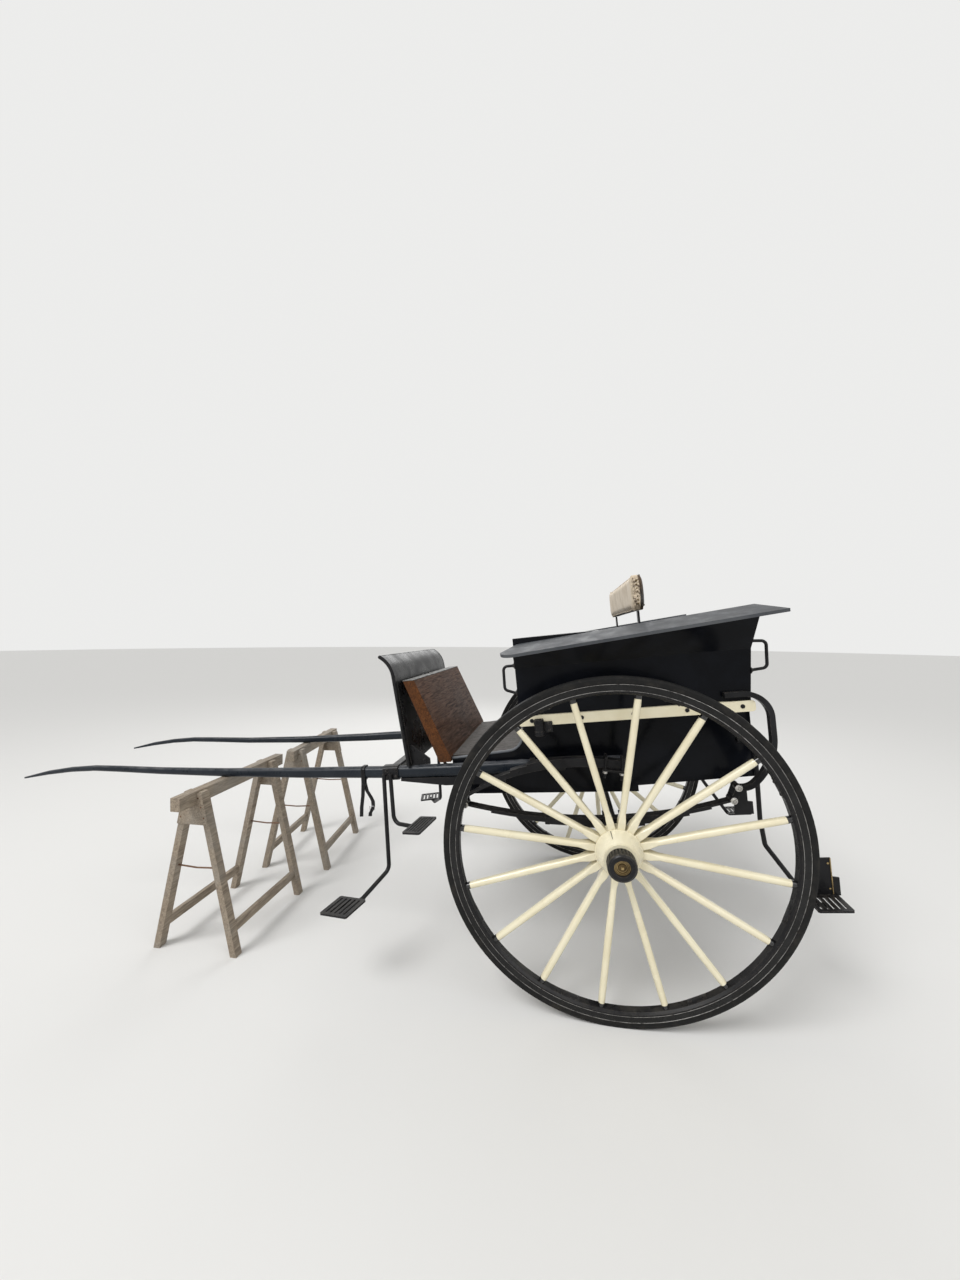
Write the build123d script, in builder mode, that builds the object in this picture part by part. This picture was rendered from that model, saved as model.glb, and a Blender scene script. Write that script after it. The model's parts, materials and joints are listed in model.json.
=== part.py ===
"""Two-wheeled dog cart, parked with its shafts on a pair of wooden trestles.

Millimetres, +X towards the horse, +Y to the cart's left, +Z up. The cart is drawn level, in
vehicle coordinates: u forward and v up, both from the axle's centre, and y across. PARK_PITCH
tips it nose down about the axle, as it stands with its shafts on the trestles.
"""
import os
from math import asin, atan2, cos, degrees, hypot, radians, sin, tan

from build123d import *

os.makedirs("parts", exist_ok=True)

# Stance
PARK_PITCH = 6.0
TRACK = 1335.0              # between the contact points of the two tyres
CAMBER = 3.2                # the top of each wheel leans outwards
FIT_GAP = 0.3               # between curved faces of neighbouring pieces

# Wheels
WHEEL_DIAMETER = 1304.0
SPOKE_COUNT = 16
SPOKE_PHASE = 17.0
DISH = 38.0                 # spoke roots stand this far inboard of the rim
CROWN_RADIUS = 60.0         # of the rubber's tread
CROWN_HALF = 17.5           # half width of the tread
RUBBER_HALF = 19.0          # half width of the rubber's shoulders
RUBBER_NECK = 15.8          # half width of the rubber between the flanges
FLANGE_THICKNESS = 4.0
CHANNEL_BASE = 5.0
FLANGE_HEIGHT = 24.0
RUBBER_DEPTH = 46.0         # from the channel's floor to the crown
FELLOE_DEPTH = 13.0
FELLOE_WIDTH = 42.0

# Hubs
NAVE_RADIUS = 84.0
NAVE_INNER_END = 113.0      # from the rim's middle plane, inboard
NAVE_OUTER_END = 52.0
NAVE_SHOULDER = 60.0
SPOKE_BAND = 50.0
NOSE_RADIUS = 48.5
NOSE_LENGTH = 48.0
NOSE_BORE = 38.0
CAP_RADIUS = 29.0
CAP_RECESS = 9.0

# Axle
AXLE_SQUARE = 42.0
ARM_ROOT_RADIUS = 23.0
ARM_TIP_RADIUS = 16.0
ARM_CLEARANCE = 0.4
COLLAR_RADIUS = 40.0
COLLAR_THICKNESS = 10.0
COLLAR_GAP = 5.0
NUT_RADIUS = 26.0
NUT_THICKNESS = 14.0
NUT_GAP = 2.0

# Springs
SPRING_Y = 520.0
SPRING_WIDTH = 45.0
SPRING_REACH = 588.0        # from the axle to the front eyes
REAR_EYE = (-452.0, 122.0)  # u and v of the lower spring's other eye
LEAF_THICKNESS = 7.0
LEAF_COUNT = 5
EYE_HEIGHT = 148.0
EYE_RADIUS = 12.0
EYE_BOLT_RADIUS = 6.0
UPPER_CROWN = (150.0, 284.3)     # u and v of the upper spring's highest point
UPPER_TAIL = 228.0          # from that point back to the leaves' rear ends
UPPER_CLIP_U = -22.0
SPRING_PAD = 6.0
CLIP_PLATE = 8.0
CLIP_LENGTH = 84.0
BOLT_RADIUS = 5.0

# Shafts
SHAFT_V = 270.0
SHAFT_Y = 443.0
SHAFT_WIDTH = 48.0
SHAFT_HEIGHT = 54.0
SHAFT_BEND_U = 950.0
SHAFT_TIP_U = 3058.0
SPLINTER_BAR = (938.0, 44.0, 40.0)     # u, width, depth
STEP_CLAMP = (900.0, 970.0, 6.0)       # rear and front ends, thickness
SHAFT_STRAPS = ((167.0, 241.0), (290.0, 312.0))
STRAP_THICKNESS = 5.0

# Body
BODY_FRONT = 330.0          # of the seat box
BOX_REAR = -553.0
BELT_REAR = -566.0
BODY_REAR = -580.0          # of the well
REAR_LEAN = 5.4             # the seat box's rear leans back above its ledge
WELL_FRONT = 655.0          # the well runs on under the driver's feet
WELL_STEP_U = -125.0        # and is shallower behind here
WELL_BOTTOM = (156.0, 132.0, 157.0, 174.0)     # v at its front, each side of the step, and its rear
BODY_Y = 512.0              # outer face of the upper sides
PANEL = 14.0                # thickness of the side and end boards
BELT_V = 474.0
BELT_HEIGHT = 42.0
BELT_THICKNESS = 18.0
SEAT_V = 792.0
SEAT_BOARD = 22.0
SEAT_RAIL = 90.0
FLARE_START_V = 690.0
FLARE = 70.0
FLOOR_V = 306.0
FLOOR_BOARD = 18.0
TOE_TOP = (786.0, 674.0)
TOE_THICKNESS = 48.0
DASH_HALF_WIDTH = 455.0
DASH_THICKNESS = 14.0
DASH_GUSSET_Y = 428.0
DASH_GUSSET_THICKNESS = 8.0

# Wings
WING_Y = 505.0
WING_WIDTH = 178.0
WING_THICKNESS = 12.0
WING_FRONT = 374.0
WING_REAR = -652.0
WING_V = 813.0              # inner edge, above the axle
WING_RISE = 4.2
WING_DROOP = 11.0

# Backrest
BACKREST_U = -195.0
BACKREST_WIDTH = 900.0
BACKREST_HEIGHT = 148.0
BACKREST_THICKNESS = 48.0
BACKREST_BOTTOM = 880.0
BACKREST_STAYS_Y = 395.0

# Tailboard
TAIL_HINGE = (-570.0, 482.0)
TAIL_GAP = 6.0              # all round the tailboard
TAIL_STRAP = 90.0
KNUCKLE_RADIUS = 9.0
HINGE_PIN_RADIUS = 4.0
KNUCKLE_LENGTH = 36.0
KNUCKLE_GAP = 0.6
HINGE_Y = 330.0

# Steps
TREAD_THICKNESS = 8.0
TREAD_RIM = 13.0            # solid border at the ends of the slots
ROD_RADIUS = 9.0
GUARD_THICKNESS = 5.0

# Trestles
TRESTLE_U = 1817.0          # where the shafts rest, along the cart
TRESTLE_BAR = (45.0, 58.0)  # width and depth
TRESTLE_LEG = (30.0, 40.0)
TRESTLE_SPREAD = 390.0      # between the feet of the two leg frames
STRETCHER = (20.0, 40.0)
STRETCHER_Z = 112.0
# side, y of the middle, bar length, leg spacing, turn in plan
TRESTLES = (
    ("left", 306.0, 770.0, 520.0, 0.0),
    ("right", -487.0, 700.0, 535.0, 5.7),
)

# What follows from the stance
RIM_RADIUS = WHEEL_DIAMETER/2
CROWN_CENTRE = RIM_RADIUS - CROWN_RADIUS
CHANNEL_FLOOR = RIM_RADIUS - RUBBER_DEPTH
FLANGE_TOP = CHANNEL_FLOOR + FLANGE_HEIGHT - CHANNEL_BASE
FELLOE_OUTER = CHANNEL_FLOOR - CHANNEL_BASE
FELLOE_INNER = FELLOE_OUTER - FELLOE_DEPTH
FLANGE_INNER = RUBBER_NECK + 0.2
FLANGE_OUTER = FLANGE_INNER + FLANGE_THICKNESS
AXLE_Z = CROWN_CENTRE*cos(radians(CAMBER)) + CROWN_RADIUS
WHEEL_Y = TRACK/2 + CROWN_CENTRE*sin(radians(CAMBER))
COLLAR_FACE = NAVE_INNER_END + COLLAR_GAP
AXLE_RISE = (COLLAR_FACE + COLLAR_THICKNESS)*sin(radians(CAMBER))

# Shafts, from the rear: u, y, v, width, height
SHAFT_SECTIONS = (
    (-70.0, SHAFT_Y, SHAFT_V + 4.0, SHAFT_WIDTH, 34.0),
    (312.0, SHAFT_Y, SHAFT_V + 4.0, SHAFT_WIDTH, 38.0),
    (340.0, SHAFT_Y, SHAFT_V, SHAFT_WIDTH, SHAFT_HEIGHT),
    (WELL_FRONT, SHAFT_Y, SHAFT_V, SHAFT_WIDTH, SHAFT_HEIGHT),
    (SHAFT_BEND_U, 425.0, SHAFT_V, 46.0, 52.0),
    (1220.0, 407.0, 277.0, 44.0, 49.0),
    (1400.0, 395.0, 281.0, 42.0, 46.0),
    (TRESTLE_U, 370.0, 297.0, 38.0, 39.0),
    (2200.0, 352.0, 320.0, 34.0, 33.0),
    (2450.0, 346.0, 341.0, 31.0, 30.0),
    (2600.0, 344.0, 352.0, 29.0, 28.0),
    (2750.0, 342.0, 352.0, 27.0, 25.0),
    (2900.0, 340.0, 342.0, 24.0, 21.0),
    (SHAFT_TIP_U, 338.0, 322.0, 10.0, 9.0),
)

WELL_Y = SHAFT_Y - SHAFT_WIDTH/2 - FIT_GAP     # the well's sides bear on the shafts


def shaft_at(u):
    """The shaft's y, v, width and height at a distance u from the axle."""
    for rear, front in zip(SHAFT_SECTIONS, SHAFT_SECTIONS[1:]):
        if rear[0] <= u <= front[0]:
            share = (u - rear[0])/(front[0] - rear[0])
            return tuple(a + (b - a)*share for a, b in zip(rear[1:], front[1:]))


# Steps: tread centre u, y, v, its size and turn in plan, slots and their pitch, and the iron's route
CLAMP_REAR, CLAMP_FRONT, CLAMP_THICKNESS = STEP_CLAMP
FRONT_IRON_Y = shaft_at(CLAMP_REAR)[0] + shaft_at(CLAMP_REAR)[2]/2 + CLAMP_THICKNESS + ROD_RADIUS - 2.0
UNDER_TREAD = TREAD_THICKNESS/2 + ROD_RADIUS - 2.0
REAR_IRON_Y = WELL_Y + ROD_RADIUS + FIT_GAP
FRONT_STEPS = (
    ((1107.0, 669.0, -204.0), (131.0, 132.0, -13.0), (5, 22.0),
     ((962.0, FRONT_IRON_Y, SHAFT_V), (967.0, FRONT_IRON_Y, 156.0), (980.0, FRONT_IRON_Y, -150.0),
      (1060.0, 590.0, -204.0 - UNDER_TREAD), (1107.0, 669.0, -204.0 - UNDER_TREAD))),
    ((797.0, 528.0, 64.0), (80.0, 178.0, -9.0), (5, 13.0),
     ((932.0, FRONT_IRON_Y, SHAFT_V), (936.0, FRONT_IRON_Y, 64.0 - UNDER_TREAD), (797.0, 528.0, 64.0 - UNDER_TREAD))),
)
REAR_STEP = ((-768.0, 483.0, -303.0), (122.0, 118.0, 0.0), (5, 21.0),
             ((-520.0, REAR_IRON_Y, 322.0), (-584.0, REAR_IRON_Y, 322.0), (-576.0, REAR_IRON_Y, 5.0),
              (-584.0, 431.0, -98.0), (-715.0, 462.0, -303.0 - UNDER_TREAD), (-768.0, 483.0, -303.0 - UNDER_TREAD)))
# its upright guard, as u and v from the tread's centre
GUARD_OUTLINE = ((-72.0, 0.0), (-72.0, 70.0), (-46.0, 74.0), (-46.0, 148.0), (28.0, 148.0), (28.0, 0.0))

PITCH_SIN = sin(radians(PARK_PITCH))
PITCH_COS = cos(radians(PARK_PITCH))
tip_u, _, tip_v, _, tip_height = SHAFT_SECTIONS[-1]
FRONT_REACH = tip_u*PITCH_COS + (tip_v + tip_height/2)*PITCH_SIN
guard_u = REAR_STEP[0][0] + GUARD_OUTLINE[0][0]
guard_v = REAR_STEP[0][2] + GUARD_OUTLINE[0][1]
REAR_REACH = -(guard_u*PITCH_COS + guard_v*PITCH_SIN)
AXLE_X = (REAR_REACH - FRONT_REACH)/2     # puts the origin under the middle of the whole
FORWARD = Vector(PITCH_COS, 0, -PITCH_SIN)
UPWARD = Vector(PITCH_SIN, 0, PITCH_COS)
AXLE_CENTRE = Vector(AXLE_X, 0, AXLE_Z)


def point(u, y, v):
    """A point of the level cart, placed where it stands when parked."""
    return AXLE_CENTRE + FORWARD*u + UPWARD*v + Vector(0, y, 0)


def side_plane(y):
    """The cart's side view at y: local x is u, local y is v, and it faces right."""
    return Plane(origin=AXLE_CENTRE + Vector(0, y, 0), x_dir=FORWARD, z_dir=(0, -1, 0))


def cross_plane(u):
    """The cart's cross section at u: local x is y, local y is v, and it faces forward."""
    return Plane(origin=point(u, 0, 0), x_dir=(0, 1, 0), z_dir=FORWARD)


def level_plane(v):
    """The cart's plan at v: local x is u and local y is y."""
    return Plane(origin=point(0, 0, v), x_dir=FORWARD, z_dir=UPWARD)


def write(piece, name):
    """Labels one finished piece and writes it under its node's name."""
    piece.label = name
    export_step(piece, f"parts/{name}.step")


def write_pair(piece, name):
    """Writes a piece of the left side, and its mirror image for the right."""
    write(piece, f"left_{name}")
    write(mirror(piece, about=Plane.XZ), f"right_{name}")


# Wheels, drawn with the axle along Z and facing outwards, then placed on each side
with BuildPart() as rubber_tyre:
    with BuildSketch(Plane.XZ):
        with BuildLine():
            shoulder = FLANGE_TOP + 3.0
            tread_edge = CROWN_CENTRE + (CROWN_RADIUS**2 - CROWN_HALF**2)**0.5
            Polyline((tread_edge, CROWN_HALF), (tread_edge - 6.0, RUBBER_HALF), (shoulder, RUBBER_HALF),
                     (shoulder, RUBBER_NECK), (CHANNEL_FLOOR, RUBBER_NECK), (CHANNEL_FLOOR, -RUBBER_NECK),
                     (shoulder, -RUBBER_NECK), (shoulder, -RUBBER_HALF), (tread_edge - 6.0, -RUBBER_HALF),
                     (tread_edge, -CROWN_HALF))
            ThreePointArc((tread_edge, -CROWN_HALF), (RIM_RADIUS, 0), (tread_edge, CROWN_HALF))
        make_face()
    revolve(axis=Axis.Z)

with BuildPart() as rim_channel:
    with BuildSketch(Plane.XZ):
        with BuildLine():
            Polyline((FELLOE_OUTER, FLANGE_OUTER), (FLANGE_TOP, FLANGE_OUTER),
                     (FLANGE_TOP, FLANGE_INNER), (CHANNEL_FLOOR, FLANGE_INNER),
                     (CHANNEL_FLOOR, -FLANGE_INNER), (FLANGE_TOP, -FLANGE_INNER),
                     (FLANGE_TOP, -FLANGE_OUTER), (FELLOE_OUTER, -FLANGE_OUTER), close=True)
        make_face()
    revolve(axis=Axis.Z)

with BuildPart() as felloe:
    with BuildSketch(Plane.XZ):
        with Locations(((FELLOE_INNER + FELLOE_OUTER)/2, 0)):
            Rectangle(FELLOE_DEPTH, FELLOE_WIDTH)
        chamfer(sketch_corners := vertices().group_by(Axis.X)[0], 7.0)
    revolve(axis=Axis.Z)


def arm_radius(height):
    """Radius of the tapered axle arm at a height along the wheel's axis."""
    share = (height + COLLAR_FACE)/(COLLAR_FACE + NAVE_OUTER_END)
    return ARM_ROOT_RADIUS + (ARM_TIP_RADIUS - ARM_ROOT_RADIUS)*share


with BuildPart() as nave:
    with BuildSketch(Plane.XZ):
        with BuildLine():
            band_low = -DISH - SPOKE_BAND/2
            band_high = -DISH + SPOKE_BAND/2
            Polyline((arm_radius(-NAVE_INNER_END) + ARM_CLEARANCE, -NAVE_INNER_END),
                     (NAVE_SHOULDER - 6.0, -NAVE_INNER_END), (NAVE_SHOULDER, -NAVE_INNER_END + 6.0),
                     (NAVE_SHOULDER, -NAVE_INNER_END + 12.0))
            ThreePointArc((NAVE_SHOULDER, -NAVE_INNER_END + 12.0), (NAVE_RADIUS - 6.0, band_low - 14.0),
                          (NAVE_RADIUS, band_low))
            Line((NAVE_RADIUS, band_low), (NAVE_RADIUS, band_high))
            ThreePointArc((NAVE_RADIUS, band_high), (NAVE_RADIUS - 7.0, band_high + 26.0),
                          (NAVE_SHOULDER, NAVE_OUTER_END - 10.0))
            Polyline((NAVE_SHOULDER, NAVE_OUTER_END - 10.0), (NAVE_SHOULDER, NAVE_OUTER_END),
                     (arm_radius(NAVE_OUTER_END) + ARM_CLEARANCE, NAVE_OUTER_END),
                     (arm_radius(-NAVE_INNER_END) + ARM_CLEARANCE, -NAVE_INNER_END))
        make_face()
    revolve(axis=Axis.Z)

with BuildPart() as nose_band:
    with BuildSketch(Plane.XZ):
        with BuildLine():
            nose_end = NAVE_OUTER_END + NOSE_LENGTH
            cap_seat = nose_end - CAP_RECESS - 14.0
            Polyline((NOSE_BORE, NAVE_OUTER_END), (NOSE_RADIUS, NAVE_OUTER_END),
                     (NOSE_RADIUS, nose_end - 5.0), (NOSE_RADIUS - 5.0, nose_end),
                     (CAP_RADIUS + FIT_GAP, nose_end), (CAP_RADIUS + FIT_GAP, cap_seat),
                     (NOSE_BORE, cap_seat), close=True)
        make_face()
    revolve(axis=Axis.Z)

with BuildPart() as hub_cap:
    with BuildSketch(Plane.XZ):
        with BuildLine():
            cap_face = nose_end - CAP_RECESS
            Polyline((0, cap_seat), (CAP_RADIUS, cap_seat), (CAP_RADIUS, cap_face),
                     (CAP_RADIUS - 7.0, cap_face), (CAP_RADIUS - 9.0, cap_face - 3.0),
                     (CAP_RADIUS - 15.0, cap_face - 3.0), (CAP_RADIUS - 16.0, cap_face + 1.0),
                     (0, cap_face + 3.0), close=True)
        make_face()
    revolve(axis=Axis.Z)

# One spoke: radius, width along the rim, depth along the axle, corner radius
SPOKE_SECTIONS = (
    (NAVE_RADIUS - 4.0, 26.0, 41.0, 2.0),
    (NAVE_RADIUS + 26.0, 27.0, 41.0, 3.0),
    (NAVE_RADIUS + 60.0, 21.0, 35.0, 9.5),
    (300.0, 26.5, 31.0, 12.0),
    (FELLOE_INNER - 30.0, 25.0, 28.0, 12.0),
    (FELLOE_INNER + 4.0, 23.0, 25.0, 11.0),
)
with BuildPart() as spoke:
    for radius, width, depth, corner in SPOKE_SECTIONS:
        lean = DISH*(FELLOE_INNER - radius)/(FELLOE_INNER - NAVE_RADIUS)
        with BuildSketch(Plane(origin=(radius, 0, -lean), x_dir=(0, 1, 0), z_dir=(1, 0, 0))):
            RectangleRounded(width, depth, corner)
    loft(ruled=True)
    with BuildSketch(Plane.XY.offset(-2*DISH)) as spoke_reach:
        Circle(FELLOE_INNER - FIT_GAP)
        Circle(NAVE_RADIUS + FIT_GAP, mode=Mode.SUBTRACT)
    extrude(amount=4*DISH, mode=Mode.INTERSECT)

for side, sign in (("left", 1), ("right", -1)):
    outward = Vector(0, sign*cos(radians(CAMBER)), -sin(radians(CAMBER)))
    wheel_plane = Plane(origin=(AXLE_X, sign*WHEEL_Y, AXLE_Z), x_dir=(1, 0, 0), z_dir=outward)
    for turned, name in ((rubber_tyre, "rubber_tyre"), (rim_channel, "rim_channel"),
                         (felloe, "felloe"), (nave, "nave"), (nose_band, "nose_band"),
                         (hub_cap, "hub_cap")):
        with BuildPart(wheel_plane) as wheel_piece:
            add(turned.part)
        write(wheel_piece.part, f"{side}_{name}")
    with BuildPart(wheel_plane) as spokes:
        with PolarLocations(0, SPOKE_COUNT, start_angle=SPOKE_PHASE):
            add(spoke.part)
    write(spokes.part, f"{side}_spokes")

# Axle: a square beam with a tapered arm, a collar and a nut at each end
BEAM_HALF = WHEEL_Y - (COLLAR_FACE + COLLAR_THICKNESS/2)*cos(radians(CAMBER))
with BuildPart() as axle:
    with BuildSketch(side_plane(0)):
        with Locations((0, AXLE_RISE)):
            Rectangle(AXLE_SQUARE, AXLE_SQUARE)
    extrude(amount=BEAM_HALF, both=True)
    for sign in (1, -1):
        outward = Vector(0, sign*cos(radians(CAMBER)), -sin(radians(CAMBER)))
        hub_centre = Vector(AXLE_X, sign*WHEEL_Y, AXLE_Z)
        arm_plane = Plane(origin=hub_centre, x_dir=(1, 0, 0), z_dir=Vector(1, 0, 0).cross(outward))
        nut_start = NAVE_OUTER_END + NUT_GAP
        with BuildSketch(arm_plane):
            with BuildLine():
                Polyline((0, -COLLAR_FACE - COLLAR_THICKNESS),
                         (COLLAR_RADIUS, -COLLAR_FACE - COLLAR_THICKNESS),
                         (COLLAR_RADIUS, -COLLAR_FACE),
                         (ARM_ROOT_RADIUS, -COLLAR_FACE),
                         (ARM_TIP_RADIUS, NAVE_OUTER_END),
                         (ARM_TIP_RADIUS, nut_start),
                         (NUT_RADIUS, nut_start),
                         (NUT_RADIUS, nut_start + NUT_THICKNESS),
                         (0, nut_start + NUT_THICKNESS), close=True)
            make_face()
        revolve(axis=Axis(hub_centre, outward))
write(axle.part, "axle")

# Springs: each half is a stack of arched leaves, the master leaf ending in rolled eyes
LOWER_V = AXLE_RISE + AXLE_SQUARE/2 + SPRING_PAD + LEAF_THICKNESS*(LEAF_COUNT - 0.5) + FIT_GAP
EYE_LIFT = 2*EYE_RADIUS + 4.0     # the upper spring's eye stands over the lower one's


def arch(reach, rise):
    """Radius and sweep of a master leaf that rises this much over its reach."""
    radius = (reach**2 + rise**2)/(2*rise)
    return radius, degrees(asin(reach/radius))


upper_radius, upper_sweep = arch(SPRING_REACH - UPPER_CROWN[0], UPPER_CROWN[1] - EYE_HEIGHT - EYE_LIFT)

LOWER_SHORTENING = 0.185
with BuildPart() as lower_spring:
    with BuildSketch(side_plane(SPRING_Y)):
        for eye_u, eye_v in ((SPRING_REACH, EYE_HEIGHT), REAR_EYE):
            lower_radius, lower_sweep = arch(abs(eye_u), eye_v - LOWER_V)
            for number in range(LEAF_COUNT):
                half = lower_sweep*(1 - LOWER_SHORTENING*number)
                start = 270 if eye_u > 0 else 270 - half
                radius = lower_radius + number*LEAF_THICKNESS
                centre = (0, LOWER_V + lower_radius)
                with BuildLine():
                    under = CenterArc(centre, radius + LEAF_THICKNESS/2, start, half)
                    over = CenterArc(centre, radius - LEAF_THICKNESS/2, start, half)
                    Line(under @ 0, over @ 0)
                    Line(under @ 1, over @ 1)
                make_face()
        with Locations((SPRING_REACH, EYE_HEIGHT), REAR_EYE):
            Circle(EYE_RADIUS)
            Circle(EYE_BOLT_RADIUS + FIT_GAP, mode=Mode.SUBTRACT)
    extrude(amount=SPRING_WIDTH/2, both=True)
write_pair(lower_spring.part, "lower_spring")

UPPER_SHORTENING = 0.16
with BuildPart() as upper_spring:
    with BuildSketch(side_plane(SPRING_Y)):
        tail = degrees(asin(UPPER_TAIL/upper_radius))
        centre = (UPPER_CROWN[0], UPPER_CROWN[1] - upper_radius)
        for number in range(LEAF_COUNT):
            half = upper_sweep*(1 - UPPER_SHORTENING*number)
            radius = upper_radius + number*LEAF_THICKNESS
            with BuildLine():
                under = CenterArc(centre, radius - LEAF_THICKNESS/2, 90 - half, half + tail)
                over = CenterArc(centre, radius + LEAF_THICKNESS/2, 90 - half, half + tail)
                Line(under @ 0, over @ 0)
                Line(under @ 1, over @ 1)
            make_face()
        with Locations((SPRING_REACH, EYE_HEIGHT + EYE_LIFT)):
            Circle(EYE_RADIUS)
            Circle(EYE_BOLT_RADIUS + FIT_GAP, mode=Mode.SUBTRACT)
    extrude(amount=SPRING_WIDTH/2, both=True)
write_pair(upper_spring.part, "upper_spring")

# Scroll iron: curls down from the body's rear corner to the spring's rear shackle
SCROLL_START = (-457.0, 522.0)
SCROLL_WIDTH = 29.0
SCROLL_THICKNESS = 20.0
# radius and degrees of its three bends, and the straight run after each
SCROLL_BENDS = ((95.0, 90.0, 70.0), (230.0, 50.0, 0.0), (62.0, 60.0, 0.0))
SCROLL_Y = BODY_Y + FIT_GAP + SCROLL_WIDTH/2
with BuildPart() as scroll_iron:
    with BuildLine(side_plane(SCROLL_Y)) as scroll_path:
        run = Line(SCROLL_START, (SCROLL_START[0] - 64.0, SCROLL_START[1]))
        for radius, degrees_turned, straight in SCROLL_BENDS:
            bend = JernArc(run @ 1, run % 1, radius, degrees_turned)
            run = Line(bend @ 1, bend @ 1 + (bend % 1)*straight) if straight else bend
    scroll_end = scroll_path.line @ 1
    with BuildSketch(Plane(origin=scroll_path.line @ 0, x_dir=(0, 1, 0), z_dir=scroll_path.line % 0)):
        Rectangle(SCROLL_WIDTH, SCROLL_THICKNESS)
    sweep()
scroll_offset = scroll_end - AXLE_CENTRE
SHACKLE_TOP = (scroll_offset.dot(FORWARD), scroll_offset.dot(UPWARD))
with BuildPart() as scroll_iron_eyed:
    add(scroll_iron.part)
    with BuildSketch(side_plane(SCROLL_Y)):
        with Locations(SHACKLE_TOP):
            Circle(EYE_RADIUS)
    extrude(amount=SCROLL_WIDTH/2, both=True)
    with BuildSketch(side_plane(SCROLL_Y)):
        with Locations(SHACKLE_TOP):
            Circle(EYE_BOLT_RADIUS + FIT_GAP)
    extrude(amount=SPRING_WIDTH, both=True, mode=Mode.SUBTRACT)
write_pair(scroll_iron_eyed.part, "scroll_iron")

# Shackles: paired links on bolts through the spring eyes
LINK_THICKNESS = 5.0
LINK_WIDTH = 22.0
SHACKLES = (
    ((SPRING_REACH, EYE_HEIGHT), (SPRING_REACH, EYE_HEIGHT + EYE_LIFT)),
    (REAR_EYE, SHACKLE_TOP),
)
with BuildPart() as shackles:
    for low, high in SHACKLES:
        length = hypot(high[0] - low[0], high[1] - low[1])
        middle = ((low[0] + high[0])/2, (low[1] + high[1])/2)
        turn = degrees(atan2(high[1] - low[1], high[0] - low[0]))
        for cheek in (-1, 1):
            cheek_y = SPRING_Y + cheek*(SPRING_WIDTH/2 + FIT_GAP + LINK_THICKNESS/2)
            with BuildSketch(side_plane(cheek_y)):
                with Locations(Location((middle[0], middle[1]), turn)):
                    SlotCenterToCenter(length, LINK_WIDTH)
            extrude(amount=LINK_THICKNESS/2, both=True)
        with BuildSketch(side_plane(SPRING_Y)):
            with Locations(low, high):
                Circle(EYE_BOLT_RADIUS)
        extrude(amount=SPRING_WIDTH/2 + LINK_THICKNESS + 7.0, both=True)
write_pair(shackles.part, "shackles")

# Clips: U-bolts strap the lower stack to the axle and the upper stack to a shelf on the shaft
BOLT_Y = SPRING_WIDTH/2 + BOLT_RADIUS + 1.0
CLIP_WIDTH = 2*BOLT_Y + 4*BOLT_RADIUS
BOLT_U = CLIP_LENGTH/2 - 2*BOLT_RADIUS
LOWER_TOP = LOWER_V + LEAF_THICKNESS/2
clip_turn = asin((UPPER_CROWN[0] - UPPER_CLIP_U)/upper_radius)
clip_v = UPPER_CROWN[1] - upper_radius + (upper_radius - LEAF_THICKNESS/2)*cos(clip_turn)
lower_clip = Plane(origin=point(0, SPRING_Y, 0), x_dir=FORWARD, z_dir=UPWARD)
upper_clip = Plane(origin=point(UPPER_CLIP_U, SPRING_Y, clip_v),
                   x_dir=FORWARD*cos(clip_turn) + UPWARD*sin(clip_turn),
                   z_dir=UPWARD*cos(clip_turn) - FORWARD*sin(clip_turn))
# plane, bottom of the bolts, inner top of their bridge
CLIPS = (
    (lower_clip, AXLE_RISE - AXLE_SQUARE/2 - CLIP_PLATE - 14.0, LOWER_TOP + 3.0),
    (upper_clip, -CLIP_PLATE - 30.0, LEAF_COUNT*LEAF_THICKNESS + 1.0),
)
with BuildPart() as spring_clips:
    with BuildSketch(level_plane(AXLE_RISE + AXLE_SQUARE/2)):
        with Locations((0, SPRING_Y)):
            Rectangle(CLIP_LENGTH, CLIP_WIDTH)
    extrude(amount=SPRING_PAD)
    with BuildSketch(level_plane(AXLE_RISE - AXLE_SQUARE/2)):
        with Locations((0, SPRING_Y)):
            Rectangle(CLIP_LENGTH, CLIP_WIDTH)
    extrude(amount=-CLIP_PLATE)
    shelf_in = SHAFT_Y + SHAFT_WIDTH/2 + FIT_GAP - SPRING_Y
    shelf_top = -(CLIP_LENGTH/2)**2/(2*upper_radius) - FIT_GAP
    with BuildSketch(Plane(origin=upper_clip.origin, x_dir=(0, 1, 0), z_dir=upper_clip.x_dir)):
        with BuildLine():
            Polyline((shelf_in, shelf_top - 30.0), (shelf_in, shelf_top + 24.0),
                     (shelf_in + CLIP_PLATE, shelf_top + 24.0), (shelf_in + CLIP_PLATE, shelf_top),
                     (CLIP_WIDTH/2, shelf_top), (CLIP_WIDTH/2, shelf_top - CLIP_PLATE),
                     (shelf_in + 16.0, shelf_top - CLIP_PLATE - 6.0),
                     (shelf_in + CLIP_PLATE, shelf_top - 30.0), close=True)
        make_face()
    extrude(amount=CLIP_LENGTH/2, both=True)
    for clip, low, high in CLIPS:
        with BuildSketch(clip.offset(low)):
            with GridLocations(2*BOLT_U, 2*BOLT_Y, 2, 2):
                Circle(BOLT_RADIUS)
        extrude(amount=high + BOLT_RADIUS - low)
        for bridge_u in (-BOLT_U, BOLT_U):
            bridge = clip.origin + clip.x_dir*bridge_u + clip.z_dir*(high + BOLT_RADIUS)
            with BuildSketch(Plane(origin=bridge, x_dir=(0, 1, 0), z_dir=clip.x_dir)):
                Rectangle(2*BOLT_Y + 2*BOLT_RADIUS, 2*BOLT_RADIUS)
            extrude(amount=BOLT_RADIUS, both=True)
write_pair(spring_clips.part, "spring_clips")

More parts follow.
